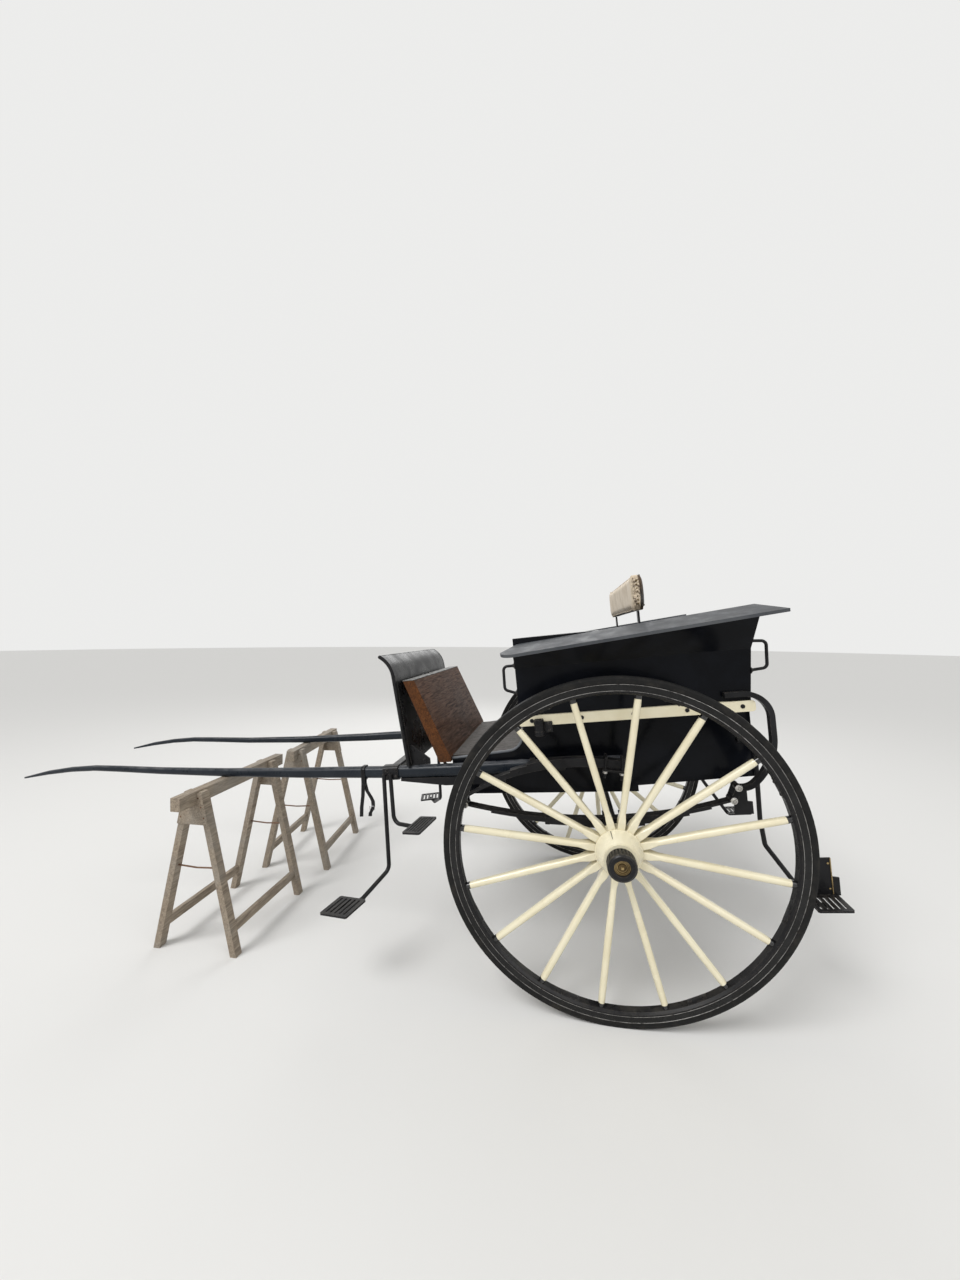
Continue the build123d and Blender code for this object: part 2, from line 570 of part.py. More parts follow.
# Shafts
with BuildPart() as shaft:
    for u, y, v, width, height in SHAFT_SECTIONS:
        with BuildSketch(cross_plane(u)):
            with Locations((y, v)):
                RectangleRounded(width, height, min(width, height)*0.42)
    loft(ruled=True)
write_pair(shaft.part, "shaft")

# Shaft irons: straps over the shaft beside the seat box, and a tapered sill under the foot-well
SILL_SECTIONS = ((CLAMP_REAR - 8.0, 12.0), (685.0, 36.0), (420.0, 38.0))     # u, depth
SILL_WIDTH = 34.0
with BuildPart() as shaft_irons:
    for rear, front in SHAFT_STRAPS:
        y, v, width, _ = shaft_at(rear)
        height = shaft_at(front)[3]
        with BuildSketch(cross_plane(rear)):
            with Locations((y, v)):
                Rectangle(width + 2*STRAP_THICKNESS, height + 2*STRAP_THICKNESS)
                Rectangle(width + 2*FIT_GAP, height + 2*FIT_GAP, mode=Mode.SUBTRACT)
            with Locations((y - width/2, v)):
                Rectangle(2*STRAP_THICKNESS + 2.0, height + 4*STRAP_THICKNESS, mode=Mode.SUBTRACT)
        extrude(amount=front - rear)
with BuildPart() as shaft_sill:
    for u, depth in SILL_SECTIONS:
        y, v, _, height = shaft_at(u)
        with BuildSketch(cross_plane(u)):
            with Locations((y, v - height/2 - FIT_GAP - depth/2)):
                Rectangle(SILL_WIDTH, depth)
    loft(ruled=True)
with BuildPart() as shaft_fittings:
    add(shaft_irons.part)
    add(shaft_sill.part)
write_pair(shaft_fittings.part, "shaft_irons")

bar_u, bar_width, bar_depth = SPLINTER_BAR
shaft_y, _, shaft_width, _ = shaft_at(CLAMP_REAR)
with BuildPart() as splinter_bar:
    with BuildSketch(side_plane(0)):
        with Locations((bar_u, SHAFT_V)):
            RectangleRounded(bar_width, bar_depth, 10.0)
    extrude(amount=shaft_y - shaft_width/2 - CLAMP_THICKNESS - FIT_GAP, both=True)
write(splinter_bar.part, "splinter_bar")

# Wings: flat boards over the wheels, rising to the rear and drooping outwards
wing_run = FORWARD*cos(radians(WING_RISE)) - UPWARD*sin(radians(WING_RISE))
wing_normal = wing_run.cross(Vector(0, 1, 0))
wing_face = wing_normal*cos(radians(WING_DROOP)) + Vector(0, 1, 0)*sin(radians(WING_DROOP))
wing_plane = Plane(origin=point(0, WING_Y, WING_V), x_dir=wing_run, z_dir=wing_face)
with BuildPart() as wing:
    with BuildSketch(wing_plane):
        with BuildLine():
            nose = 62.0
            Line((WING_REAR, WING_WIDTH), (WING_FRONT - nose, WING_WIDTH))
            TangentArc((WING_FRONT - nose, WING_WIDTH), (WING_FRONT, WING_WIDTH - nose), tangent=(1, 0))
            Polyline((WING_FRONT, WING_WIDTH - nose), (WING_FRONT - 60.0, 0), (WING_REAR + 46.0, 0),
                     (WING_REAR, WING_WIDTH))
        make_face()
    extrude(amount=-WING_THICKNESS)
write_pair(wing.part, "wing")

# Body sides: the well below, the seat box above, flaring out to carry the wing
ledge_v = BELT_V - BELT_HEIGHT/2
FLARE_TOP = SEAT_V + 40.0          # beyond the wing, which trims it


def flare(v):
    """How far the side stands out at a height v: nothing, then a straight lean."""
    return max(0.0, FLARE*(v - FLARE_START_V)/(SEAT_V - FLARE_START_V))


def rear_u(v):
    """The seat box's rear face at a height v, leaning back above the ledge."""
    return BOX_REAR - (v - ledge_v)*tan(radians(REAR_LEAN))


INNER_WELL = WELL_Y - PANEL
INNER_BODY = BODY_Y - PANEL
FOOT_EDGE = ((WELL_FRONT, 312.0), (400.0, 329.0), (BODY_FRONT + 4.0, 395.0))
front_bottom, step_low, step_high, rear_bottom = WELL_BOTTOM
with BuildPart() as body_side:
    with BuildSketch(side_plane(WELL_Y)):
        with BuildLine():
            foot_edge = Line(FOOT_EDGE[0], FOOT_EDGE[1])
            TangentArc(FOOT_EDGE[1], FOOT_EDGE[2], tangent=foot_edge % 1)
            Polyline(FOOT_EDGE[2], (FOOT_EDGE[2][0], ledge_v - 30.0), (BODY_FRONT, ledge_v - 30.0),
                     (BODY_FRONT, ledge_v + PANEL), (BODY_REAR, ledge_v + PANEL),
                     (BODY_REAR, rear_bottom), (WELL_STEP_U, step_high), (WELL_STEP_U, step_low),
                     (WELL_FRONT, front_bottom), FOOT_EDGE[0])
        make_face()
    extrude(amount=PANEL)
    with BuildSketch(cross_plane(rear_u(FLARE_TOP) - 10.0)):
        with BuildLine():
            top = BODY_Y + flare(FLARE_TOP)
            Polyline((INNER_WELL, ledge_v), (BODY_Y, ledge_v), (BODY_Y, FLARE_START_V), (top, FLARE_TOP),
                     (top - PANEL, FLARE_TOP), (INNER_BODY, FLARE_START_V),
                     (INNER_BODY, ledge_v + PANEL), (INNER_WELL, ledge_v + PANEL), close=True)
        make_face()
    extrude(amount=BODY_FRONT - rear_u(FLARE_TOP) + 10.0)
    with BuildSketch(cross_plane(rear_u(FLARE_TOP) - 10.0)):
        with BuildLine():
            Polyline((INNER_BODY, FLARE_START_V), (top - PANEL, FLARE_TOP), (INNER_BODY, FLARE_TOP),
                     close=True)
        make_face()
    extrude(amount=BOX_REAR + PANEL - rear_u(FLARE_TOP) + 10.0)
    with BuildSketch(side_plane(0)):
        with BuildLine():
            beyond = rear_u(FLARE_TOP) - 30.0
            Polyline((beyond, ledge_v), (BOX_REAR, ledge_v),
                     (rear_u(FLARE_TOP), FLARE_TOP), (beyond, FLARE_TOP), close=True)
        make_face()
    extrude(amount=BODY_Y + FLARE*2, both=True, mode=Mode.SUBTRACT)
    split(bisect_by=wing_plane.offset(-WING_THICKNESS), keep=Keep.BOTTOM)
write_pair(body_side.part, "body_side")

with BuildPart() as belt_board:
    with BuildSketch(side_plane(BODY_Y + BELT_THICKNESS)):
        with Locations(((BODY_FRONT + 3.0 + BELT_REAR)/2, BELT_V)):
            RectangleRounded(BODY_FRONT + 3.0 - BELT_REAR, BELT_HEIGHT, 12.0)
    extrude(amount=BELT_THICKNESS)
write_pair(belt_board.part, "belt_board")

# Ends and floors
with BuildPart() as front_panel:
    with BuildSketch(cross_plane(BODY_FRONT - PANEL)):
        front_top = WING_V - BODY_FRONT*tan(radians(WING_RISE)) - WING_THICKNESS - 16.0
        with BuildLine():
            Polyline((0, FLOOR_V), (INNER_WELL, FLOOR_V), (INNER_WELL, ledge_v + PANEL),
                     (INNER_BODY, ledge_v + PANEL), (INNER_BODY, FLARE_START_V),
                     (INNER_BODY + flare(front_top), front_top), (INNER_BODY, front_top),
                     (INNER_BODY, SEAT_V), (0, SEAT_V), close=True)
        make_face()
        mirror(about=Plane.YZ)
    extrude(amount=PANEL)
write(front_panel.part, "front_panel")

with BuildPart() as rear_panel:
    with BuildSketch(cross_plane(BODY_REAR)):
        with Locations((0, (rear_bottom + ledge_v)/2)):
            Rectangle(2*INNER_WELL, ledge_v - rear_bottom)
    extrude(amount=PANEL)
write(rear_panel.part, "rear_panel")

with BuildPart() as well_floor:
    with BuildSketch(side_plane(0)):
        with BuildLine():
            Polyline((WELL_FRONT, FLOOR_V), (WELL_FRONT, front_bottom), (WELL_STEP_U, step_low),
                     (WELL_STEP_U, step_high), (BODY_REAR + PANEL, rear_bottom),
                     (BODY_REAR + PANEL, rear_bottom + FLOOR_BOARD),
                     (WELL_STEP_U + PANEL, step_high + FLOOR_BOARD),
                     (WELL_STEP_U + PANEL, step_low + FLOOR_BOARD),
                     (WELL_FRONT - PANEL, front_bottom + FLOOR_BOARD), (WELL_FRONT - PANEL, FLOOR_V),
                     close=True)
        make_face()
    extrude(amount=INNER_WELL, both=True)
write(well_floor.part, "well_floor")

with BuildPart() as foot_floor:
    with BuildSketch(level_plane(FLOOR_V)):
        with Locations(((BODY_FRONT + WELL_FRONT)/2, 0)):
            Rectangle(WELL_FRONT - BODY_FRONT, 2*INNER_WELL)
    extrude(amount=FLOOR_BOARD)
write(foot_floor.part, "foot_floor")

toe_run = Vector(TOE_TOP[0] - WELL_FRONT, TOE_TOP[1] - FLOOR_V - FLOOR_BOARD)
with BuildPart() as toe_board:
    with BuildSketch(side_plane(0)):
        with BuildLine():
            across = TOE_THICKNESS/(toe_run.Y/toe_run.length)
            Polyline((WELL_FRONT, FLOOR_V), (WELL_FRONT + across, FLOOR_V),
                     (TOE_TOP[0] + across, TOE_TOP[1]), TOE_TOP,
                     (WELL_FRONT, FLOOR_V + FLOOR_BOARD), close=True)
        make_face()
    extrude(amount=DASH_HALF_WIDTH - 5.0, both=True)
write(toe_board.part, "toe_board")

# Dash: a thin panel, nearly upright, rolled forward along its top
DASH_FOOT = (846.0, SHAFT_V + shaft_at(846.0)[3]/2 + 1.0)
DASH_KNEE = (878.0, 700.0)
with BuildPart() as dash:
    with BuildLine(side_plane(DASH_HALF_WIDTH)) as dash_path:
        rise = Line(DASH_FOOT, DASH_KNEE)
        JernArc(rise @ 1, rise % 1, 120.0, -52)
    with BuildSketch(Plane(origin=dash_path.line @ 0, x_dir=(0, 1, 0), z_dir=dash_path.line % 0)):
        with Locations((-DASH_HALF_WIDTH, 0)):
            Rectangle(2*DASH_HALF_WIDTH, DASH_THICKNESS)
    sweep()
    for y in (DASH_GUSSET_Y, -DASH_GUSSET_Y):
        with BuildSketch(side_plane(y)):
            with BuildLine():
                Polyline(DASH_FOOT, (DASH_FOOT[0] + 4.0, 381.0), (832.0, 386.0), (754.0, 322.0),
                         (754.0, DASH_FOOT[1]), close=True)
            make_face()
        extrude(amount=DASH_GUSSET_THICKNESS/2, both=True)
write(dash.part, "dash")

# Seat: a board in front and one behind, each side of a rail that carries the backrest
SEAT_BOARDS = (
    ("rear_seat_board", rear_u(SEAT_V), BACKREST_U - SEAT_RAIL/2),
    ("seat_rail", BACKREST_U - SEAT_RAIL/2, BACKREST_U + SEAT_RAIL/2),
    ("front_seat_board", BACKREST_U + SEAT_RAIL/2, BODY_FRONT),
)
for name, rear, front in SEAT_BOARDS:
    with BuildPart() as seat_board:
        with BuildSketch(level_plane(SEAT_V)):
            with Locations(((front + rear)/2, 0)):
                Rectangle(front - rear, 2*INNER_BODY)
        extrude(amount=SEAT_BOARD)
    write(seat_board.part, name)

# Backrest, shared by the front and the rear seat
with BuildPart() as backrest:
    with BuildSketch(side_plane(0)):
        with Locations((BACKREST_U, BACKREST_BOTTOM + BACKREST_HEIGHT/2)):
            RectangleRounded(BACKREST_THICKNESS, BACKREST_HEIGHT, BACKREST_THICKNESS*0.45)
    extrude(amount=BACKREST_WIDTH/2, both=True)
write(backrest.part, "backrest")

with BuildPart() as backrest_stays:
    for sign in (1, -1):
        with BuildSketch(level_plane(SEAT_V + SEAT_BOARD)):
            with Locations((BACKREST_U, sign*BACKREST_STAYS_Y)):
                Rectangle(60.0, 40.0)
        extrude(amount=6.0)
        with BuildSketch(level_plane(SEAT_V + SEAT_BOARD)):
            with Locations((BACKREST_U, sign*BACKREST_STAYS_Y)):
                Rectangle(8.0, 26.0)
        extrude(amount=BACKREST_BOTTOM - SEAT_V - SEAT_BOARD - FIT_GAP)
write(backrest_stays.part, "backrest_stays")

# Tailboard: drops to the rear on two strap hinges, as a footboard for the rear seat
tail_plane = Plane(origin=point(BOX_REAR, 0, ledge_v), x_dir=(0, 1, 0),
                   z_dir=FORWARD*cos(radians(REAR_LEAN)) + UPWARD*sin(radians(REAR_LEAN)))
hinge_u, hinge_v = TAIL_HINGE
knuckle_rear = hinge_u - KNUCKLE_RADIUS
TAIL_BOTTOM = ledge_v + PANEL + TAIL_GAP
TAIL_TOP = SEAT_V - TAIL_GAP
with BuildPart() as tailboard:
    with BuildSketch(tail_plane):
        with Locations((0, (TAIL_BOTTOM + TAIL_TOP)/2 - ledge_v)):
            Rectangle(2*(INNER_BODY - TAIL_GAP), TAIL_TOP - TAIL_BOTTOM)
    extrude(amount=PANEL)
    for y in (HINGE_Y, -HINGE_Y):
        with BuildSketch(side_plane(y)):
            with BuildLine():
                Polyline((knuckle_rear, hinge_v), (knuckle_rear, hinge_v + 8.0),
                         (rear_u(hinge_v + 34.0) - 6.0, hinge_v + 34.0),
                         (rear_u(hinge_v + TAIL_STRAP) - 6.0, hinge_v + TAIL_STRAP),
                         (rear_u(hinge_v + TAIL_STRAP) + 2.0, hinge_v + TAIL_STRAP),
                         (rear_u(hinge_v) + 2.0, hinge_v), close=True)
            make_face()
            with Locations(TAIL_HINGE):
                Circle(KNUCKLE_RADIUS)
                Circle(HINGE_PIN_RADIUS + FIT_GAP, mode=Mode.SUBTRACT)
        extrude(amount=KNUCKLE_LENGTH/2, both=True)
write(tailboard.part, "tailboard")

with BuildPart() as tail_hinges:
    for y in (HINGE_Y, -HINGE_Y):
        for cheek in (-1, 1):
            cheek_y = y + cheek*(KNUCKLE_LENGTH + KNUCKLE_GAP)
            with BuildSketch(side_plane(cheek_y)):
                with Locations(TAIL_HINGE):
                    Circle(KNUCKLE_RADIUS)
                with BuildLine():
                    Polyline((knuckle_rear, hinge_v), (knuckle_rear, ledge_v), (hinge_u + KNUCKLE_RADIUS, ledge_v),
                             (hinge_u + KNUCKLE_RADIUS, hinge_v), close=True)
                make_face()
            extrude(amount=KNUCKLE_LENGTH/2, both=True)
        with BuildSketch(side_plane(y)):
            with Locations(TAIL_HINGE):
                Circle(HINGE_PIN_RADIUS)
        extrude(amount=KNUCKLE_LENGTH*1.5, both=True)
write(tail_hinges.part, "tail_hinges")

# Steps: slotted treads on bent irons, the front two hung from one clamp round the shaft
step_pieces = []
for centre, (length, width, turn), (slot_count, pitch), route in (*FRONT_STEPS, REAR_STEP):
    with BuildPart() as tread:
        with BuildSketch():
            RectangleRounded(length, width, 8.0)
            with GridLocations(pitch, 0, slot_count, 1):
                SlotOverall(width - 2*TREAD_RIM, pitch*0.45, rotation=90, mode=Mode.SUBTRACT)
        extrude(amount=TREAD_THICKNESS/2, both=True)
    with BuildPart() as step:
        with BuildLine() as iron_path:
            FilletPolyline(*[point(*stop) for stop in route], radius=36.0)
        with BuildSketch(Plane(origin=iron_path.line @ 0, x_dir=(0, 1, 0), z_dir=iron_path.line % 0)):
            Circle(ROD_RADIUS)
        sweep()
        across = FORWARD*cos(radians(turn)) + Vector(0, 1, 0)*sin(radians(turn))
        with Locations(Plane(origin=point(*centre), x_dir=across, z_dir=UPWARD).location):
            add(tread.part)
    step_pieces.append(step.part)

clamp_y, clamp_v, clamp_width, clamp_height = shaft_at(CLAMP_REAR)
clamp_bore = [(u, *shaft_at(u)) for u in (CLAMP_REAR - 10.0, SHAFT_BEND_U, CLAMP_FRONT + 10.0)]
with BuildPart() as front_steps:
    with BuildSketch(cross_plane(CLAMP_REAR)):
        with Locations((clamp_y, clamp_v)):
            RectangleRounded(clamp_width + 2*CLAMP_THICKNESS, clamp_height + 2*CLAMP_THICKNESS, 16.0)
    extrude(amount=CLAMP_FRONT - CLAMP_REAR)
    add(step_pieces[0])
    add(step_pieces[1])
    for u, y, v, width, height in clamp_bore:
        with BuildSketch(cross_plane(u)):
            with Locations((y, v)):
                RectangleRounded(width + 2*FIT_GAP, height + 2*FIT_GAP, min(width, height)*0.42)
    loft(ruled=True, mode=Mode.SUBTRACT)
write_pair(front_steps.part, "front_steps")

guard_centre = REAR_STEP[0]
with BuildPart() as rear_step:
    add(step_pieces[2])
    with BuildSketch(side_plane(guard_centre[1] - REAR_STEP[1][1]/2 + GUARD_THICKNESS)):
        with BuildLine():
            Polyline(*[(guard_centre[0] + u, guard_centre[2] + v) for u, v in GUARD_OUTLINE], close=True)
        make_face()
    extrude(amount=GUARD_THICKNESS)
write_pair(rear_step.part, "rear_step")

# Grab irons: bent rods beside the seats, front and rear
GRAB_ROUTES = (
    ((BODY_FRONT + 0.3, 703.0), (378.0, 703.0), (381.0, 606.0), (BODY_FRONT + 2.3, 588.0)),
    ((rear_u(718.0) - 0.3, 718.0), (-633.0, 713.0), (-628.0, 611.0), (rear_u(606.0) - 1.5, 606.0)),
)
GRAB_RADIUS = 6.0
GRAB_Y = BODY_Y - PANEL/2
with BuildPart() as grab_irons:
    for route in GRAB_ROUTES:
        with BuildLine(side_plane(GRAB_Y)) as grab_path:
            FilletPolyline(*route, radius=18.0)
        with BuildSketch(Plane(origin=grab_path.line @ 0, x_dir=(0, 1, 0), z_dir=grab_path.line % 0)):
            Circle(GRAB_RADIUS)
        sweep()
write_pair(grab_irons.part, "grab_irons")

# Lamp sockets, hooked under the belt boards
SOCKET = (252.0, 68.0, 24.0)       # u, length, bore
SOCKET_WALL = 4.0
with BuildPart() as lamp_socket:
    socket_y = BODY_Y + BELT_THICKNESS + SOCKET[2]/2 + SOCKET_WALL
    socket_top = BELT_V + BELT_HEIGHT/2 - 14.0
    with BuildSketch(level_plane(socket_top)):
        with Locations((SOCKET[0], socket_y)):
            Circle(SOCKET[2]/2 + SOCKET_WALL)
        with Locations((SOCKET[0], socket_y - SOCKET[2]/4 - SOCKET_WALL/2)):
            Rectangle(SOCKET[2] + 10.0, SOCKET[2]/2 + SOCKET_WALL)
        with Locations((SOCKET[0], socket_y)):
            Circle(SOCKET[2]/2, mode=Mode.SUBTRACT)
    extrude(amount=-SOCKET[1])
write_pair(lamp_socket.part, "lamp_socket")

# Trestles, standing square to the world under the shafts
bar_x, bar_height = TRESTLE_BAR
leg_x, leg_y = TRESTLE_LEG
rests = [shaft_at(u)[1] - shaft_at(u)[3]/2 for u in (TRESTLE_U - bar_x/2, TRESTLE_U + bar_x/2)]
TRESTLE_TOP = min(point(TRESTLE_U - bar_x/2, 0, rests[0]).Z, point(TRESTLE_U + bar_x/2, 0, rests[1]).Z) - FIT_GAP
trestle_x = point(TRESTLE_U, 0, SHAFT_V).X
for side, centre_y, bar_length, leg_spacing, turn in TRESTLES:
    with BuildPart() as trestle:
        with BuildSketch(Plane.XY.offset(TRESTLE_TOP)):
            Rectangle(bar_x, bar_length)
        extrude(amount=-bar_height)
        leg_top = TRESTLE_TOP - 6.0
        foot = TRESTLE_SPREAD/2
        lean = (foot - bar_x/2 - leg_x/2)/(leg_top - bar_height/2)
        for leg_at in (-leg_spacing/2, leg_spacing/2):
            for way in (-1, 1):
                with BuildSketch(Plane(origin=(0, leg_at, 0), x_dir=(1, 0, 0), z_dir=(0, -1, 0))):
                    with BuildLine():
                        low_in = foot - leg_x/2
                        low_out = foot + leg_x/2
                        Polyline((way*low_out, 0), (way*low_in, 0),
                                 (way*bar_x/2, (low_in - bar_x/2)/lean), (way*bar_x/2, leg_top),
                                 (way*(low_out - lean*leg_top), leg_top), close=True)
                    make_face()
                extrude(amount=leg_y/2, both=True)
        for way in (-1, 1):
            with BuildSketch(Plane.XY.offset(STRETCHER_Z - STRETCHER[1]/2)):
                with Locations((way*(foot - lean*STRETCHER_Z), 0)):
                    Rectangle(STRETCHER[0], leg_spacing - leg_y)
            extrude(amount=STRETCHER[1])
    facing = (cos(radians(turn)), sin(radians(turn)), 0)
    with BuildPart(Plane(origin=(trestle_x, centre_y, 0), x_dir=facing, z_dir=(0, 0, 1))) as placed:
        add(trestle.part)
    write(placed.part, f"{side}_trestle")
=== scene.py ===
"""Looks of a two-wheeled dog cart, parked with its shafts on a pair of wooden trestles.

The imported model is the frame: every piece here is in metres in its axes, with +X towards the
horse, +Y to the cart's left and +Z up. A point of the level cart is given as u forward and v up
from the axle's centre, and y across; the cart stands pitched nose down about its axle.
"""

import json
import logging
from dataclasses import dataclass, field
from enum import Enum
from math import atan2, cos, hypot, pi, radians, sin
from typing import Callable, Sequence

import bmesh
import bpy
from mathutils import Matrix, Vector

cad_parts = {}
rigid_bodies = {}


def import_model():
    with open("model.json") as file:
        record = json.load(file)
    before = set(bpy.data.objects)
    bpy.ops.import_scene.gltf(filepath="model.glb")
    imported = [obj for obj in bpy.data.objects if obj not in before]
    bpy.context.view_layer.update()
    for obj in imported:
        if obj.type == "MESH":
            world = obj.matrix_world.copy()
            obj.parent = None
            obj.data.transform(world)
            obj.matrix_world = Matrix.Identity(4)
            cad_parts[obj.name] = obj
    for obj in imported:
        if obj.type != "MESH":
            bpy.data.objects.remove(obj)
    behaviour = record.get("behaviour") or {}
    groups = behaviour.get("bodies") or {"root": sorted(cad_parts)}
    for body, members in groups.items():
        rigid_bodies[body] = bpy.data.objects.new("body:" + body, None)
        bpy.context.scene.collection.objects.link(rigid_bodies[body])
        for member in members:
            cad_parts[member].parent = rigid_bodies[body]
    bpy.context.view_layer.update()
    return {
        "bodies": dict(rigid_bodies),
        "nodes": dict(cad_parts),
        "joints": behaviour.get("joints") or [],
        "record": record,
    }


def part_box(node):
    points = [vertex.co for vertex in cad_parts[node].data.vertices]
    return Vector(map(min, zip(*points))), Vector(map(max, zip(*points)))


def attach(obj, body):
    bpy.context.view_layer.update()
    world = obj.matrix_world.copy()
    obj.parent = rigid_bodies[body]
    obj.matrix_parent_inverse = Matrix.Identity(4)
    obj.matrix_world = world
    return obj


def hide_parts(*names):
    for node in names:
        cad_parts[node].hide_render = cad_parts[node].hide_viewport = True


LOG = logging.getLogger("dog_cart")

Pair = tuple[float, float]
Triple = tuple[float, float, float]
Colour = Triple
Route = Sequence[Triple]
Socket = bpy.types.NodeSocket
Material = bpy.types.Material
Test = Callable[[Vector, Vector], bool]

PARK_PITCH = 6.0
CAMBER = 3.2
BACKREST_U = -0.195


class Side(Enum):
    """The cart's two sides, with the sign of y on each."""

    LEFT = 1
    RIGHT = -1

    @property
    def word(self) -> str:
        """The side's word in the names of pieces and bodies."""
        return self.name.lower()


class Graph:
    """The node tree of one material, built a node at a time."""

    def __init__(self, name: str) -> None:
        """Starts a material with an empty shader.

        Args:
            name: The material's name.
        """
        self.material = bpy.data.materials.new(name)
        self.material.use_nodes = True
        self.tree = self.material.node_tree
        self.tree.nodes.clear()
        self.shader = self.tree.nodes.new("ShaderNodeBsdfPrincipled")
        output = self.tree.nodes.new("ShaderNodeOutputMaterial")
        self.feed(output.inputs["Surface"], self.shader.outputs["BSDF"])
        self.place = self.node("TexCoord", "Object")

    def node(self, kind: str, output: str | int, *inputs: object, **values: object) -> Socket:
        """Adds a node.

        Args:
            kind: The end of Blender's type name of the node.
            output: Which of its outputs is wanted.
            inputs: What its inputs take, in their order. None leaves one as it is.
            values: Its properties in small letters, and further inputs that start with a capital.

        Returns:
            The output socket.
        """
        made = self.tree.nodes.new(f"ShaderNode{kind}")
        for key, value in values.items():
            if key[0].isupper():
                self.feed(made.inputs[key], value)
            else:
                setattr(made, key, value)
        for target, value in zip(made.inputs, inputs):
            if value is not None:
                self.feed(target, value)
        return made.outputs[output]

    def feed(self, target: Socket, value: object) -> None:
        """Links a socket to an input, or sets the input's own value.

        Args:
            target: The input.
            value: A socket, a number, a colour or a vector.
        """
        if isinstance(value, bpy.types.NodeSocket):
            self.tree.links.new(value, target)
        elif isinstance(value, (int, float)) or len(value) == len(target.default_value):
            target.default_value = value
        else:
            target.default_value = (*value, 1.0)

    def set(self, **values: object) -> None:
        """Feeds the shader's sockets, named with underscores for spaces."""
        for key, value in values.items():
            self.feed(self.shader.inputs[key.replace("_", " ")], value)

    def mapped(self, scale: Triple = (1, 1, 1), turn: Triple = (0, 0, 0),
               shift: Triple = (0, 0, 0)) -> Socket:
        """Object coordinates, moved, turned and then scaled.

        Args:
            scale: How much finer the pattern is along each axis.
            turn: Degrees about X, Y and Z.
            shift: Added to the coordinates first.

        Returns:
            The vector.
        """
        moved = self.node("Mapping", "Vector", self.place, Location=shift)
        turned_round = self.node("Mapping", "Vector", moved, Rotation=[radians(a) for a in turn])
        return self.node("Mapping", "Vector", turned_round, Scale=scale)

    def noise(self, scale: float, detail: float = 4.0, roughness: float = 0.55,
              distortion: float = 0.0, vector: Socket | None = None) -> Socket:
        """A noise pattern's height, with so many features a metre and octaves."""
        return self.node("TexNoise", "Fac", Vector=vector or self.place, Scale=scale, Detail=detail,
                         Roughness=roughness, Distortion=distortion)

    def cells(self, scale: float, feature: str = "F1", vector: Socket | None = None) -> Socket:
        """A Voronoi pattern's distance, with so many cells a metre."""
        return self.node("TexVoronoi", "Distance", feature=feature, Vector=vector or self.place, Scale=scale)

    def math(self, operation: str, *values: object) -> Socket:
        """One sum of sockets or numbers."""
        return self.node("Math", "Value", *values, operation=operation)

    def step(self, value: Socket, low: float, high: float, start: float = 0.0, end: float = 1.0) -> Socket:
        """A smooth change from start to end, as a value goes from low to high."""
        return self.node("MapRange", "Result", value, low, high, start, end, interpolation_type="SMOOTHSTEP")

    def mix(self, share: object, first: object, second: object) -> Socket:
        """A blend of two colours, of which the second has the share."""
        return self.node("Mix", 2, share, *[None]*5, first, second, data_type="RGBA")

    def edges(self, radius: float) -> Socket:
        """Where the surface turns sharply within a radius: 0 on flat ground, 1 at an edge."""
        normals = (self.node("Bevel", "Normal", samples=4, Radius=radius), self.node("NewGeometry", "Normal"))
        return self.step(self.node("VectorMath", "Value", *normals, operation="DOT_PRODUCT"), 0.99, 0.85)

    def upward(self) -> Socket:
        """How much the surface faces up, from -1 to 1."""
        return self.node("SeparateXYZ", "Z", self.node("NewGeometry", "Normal"))

    def bump(self, height: Socket, strength: float, distance: float) -> None:
        """Raises the surface by a pattern, over what is raised already.

        Args:
            height: The pattern.
            strength: From 0 to 1.
            distance: The pattern's full height in metres.
        """
        target = self.shader.inputs["Normal"]
        below = {"Normal": target.links[0].from_socket} if target.links else {}
        raised = self.node("Bump", "Normal", Strength=strength, Distance=distance, Height=height, **below)
        self.feed(target, raised)


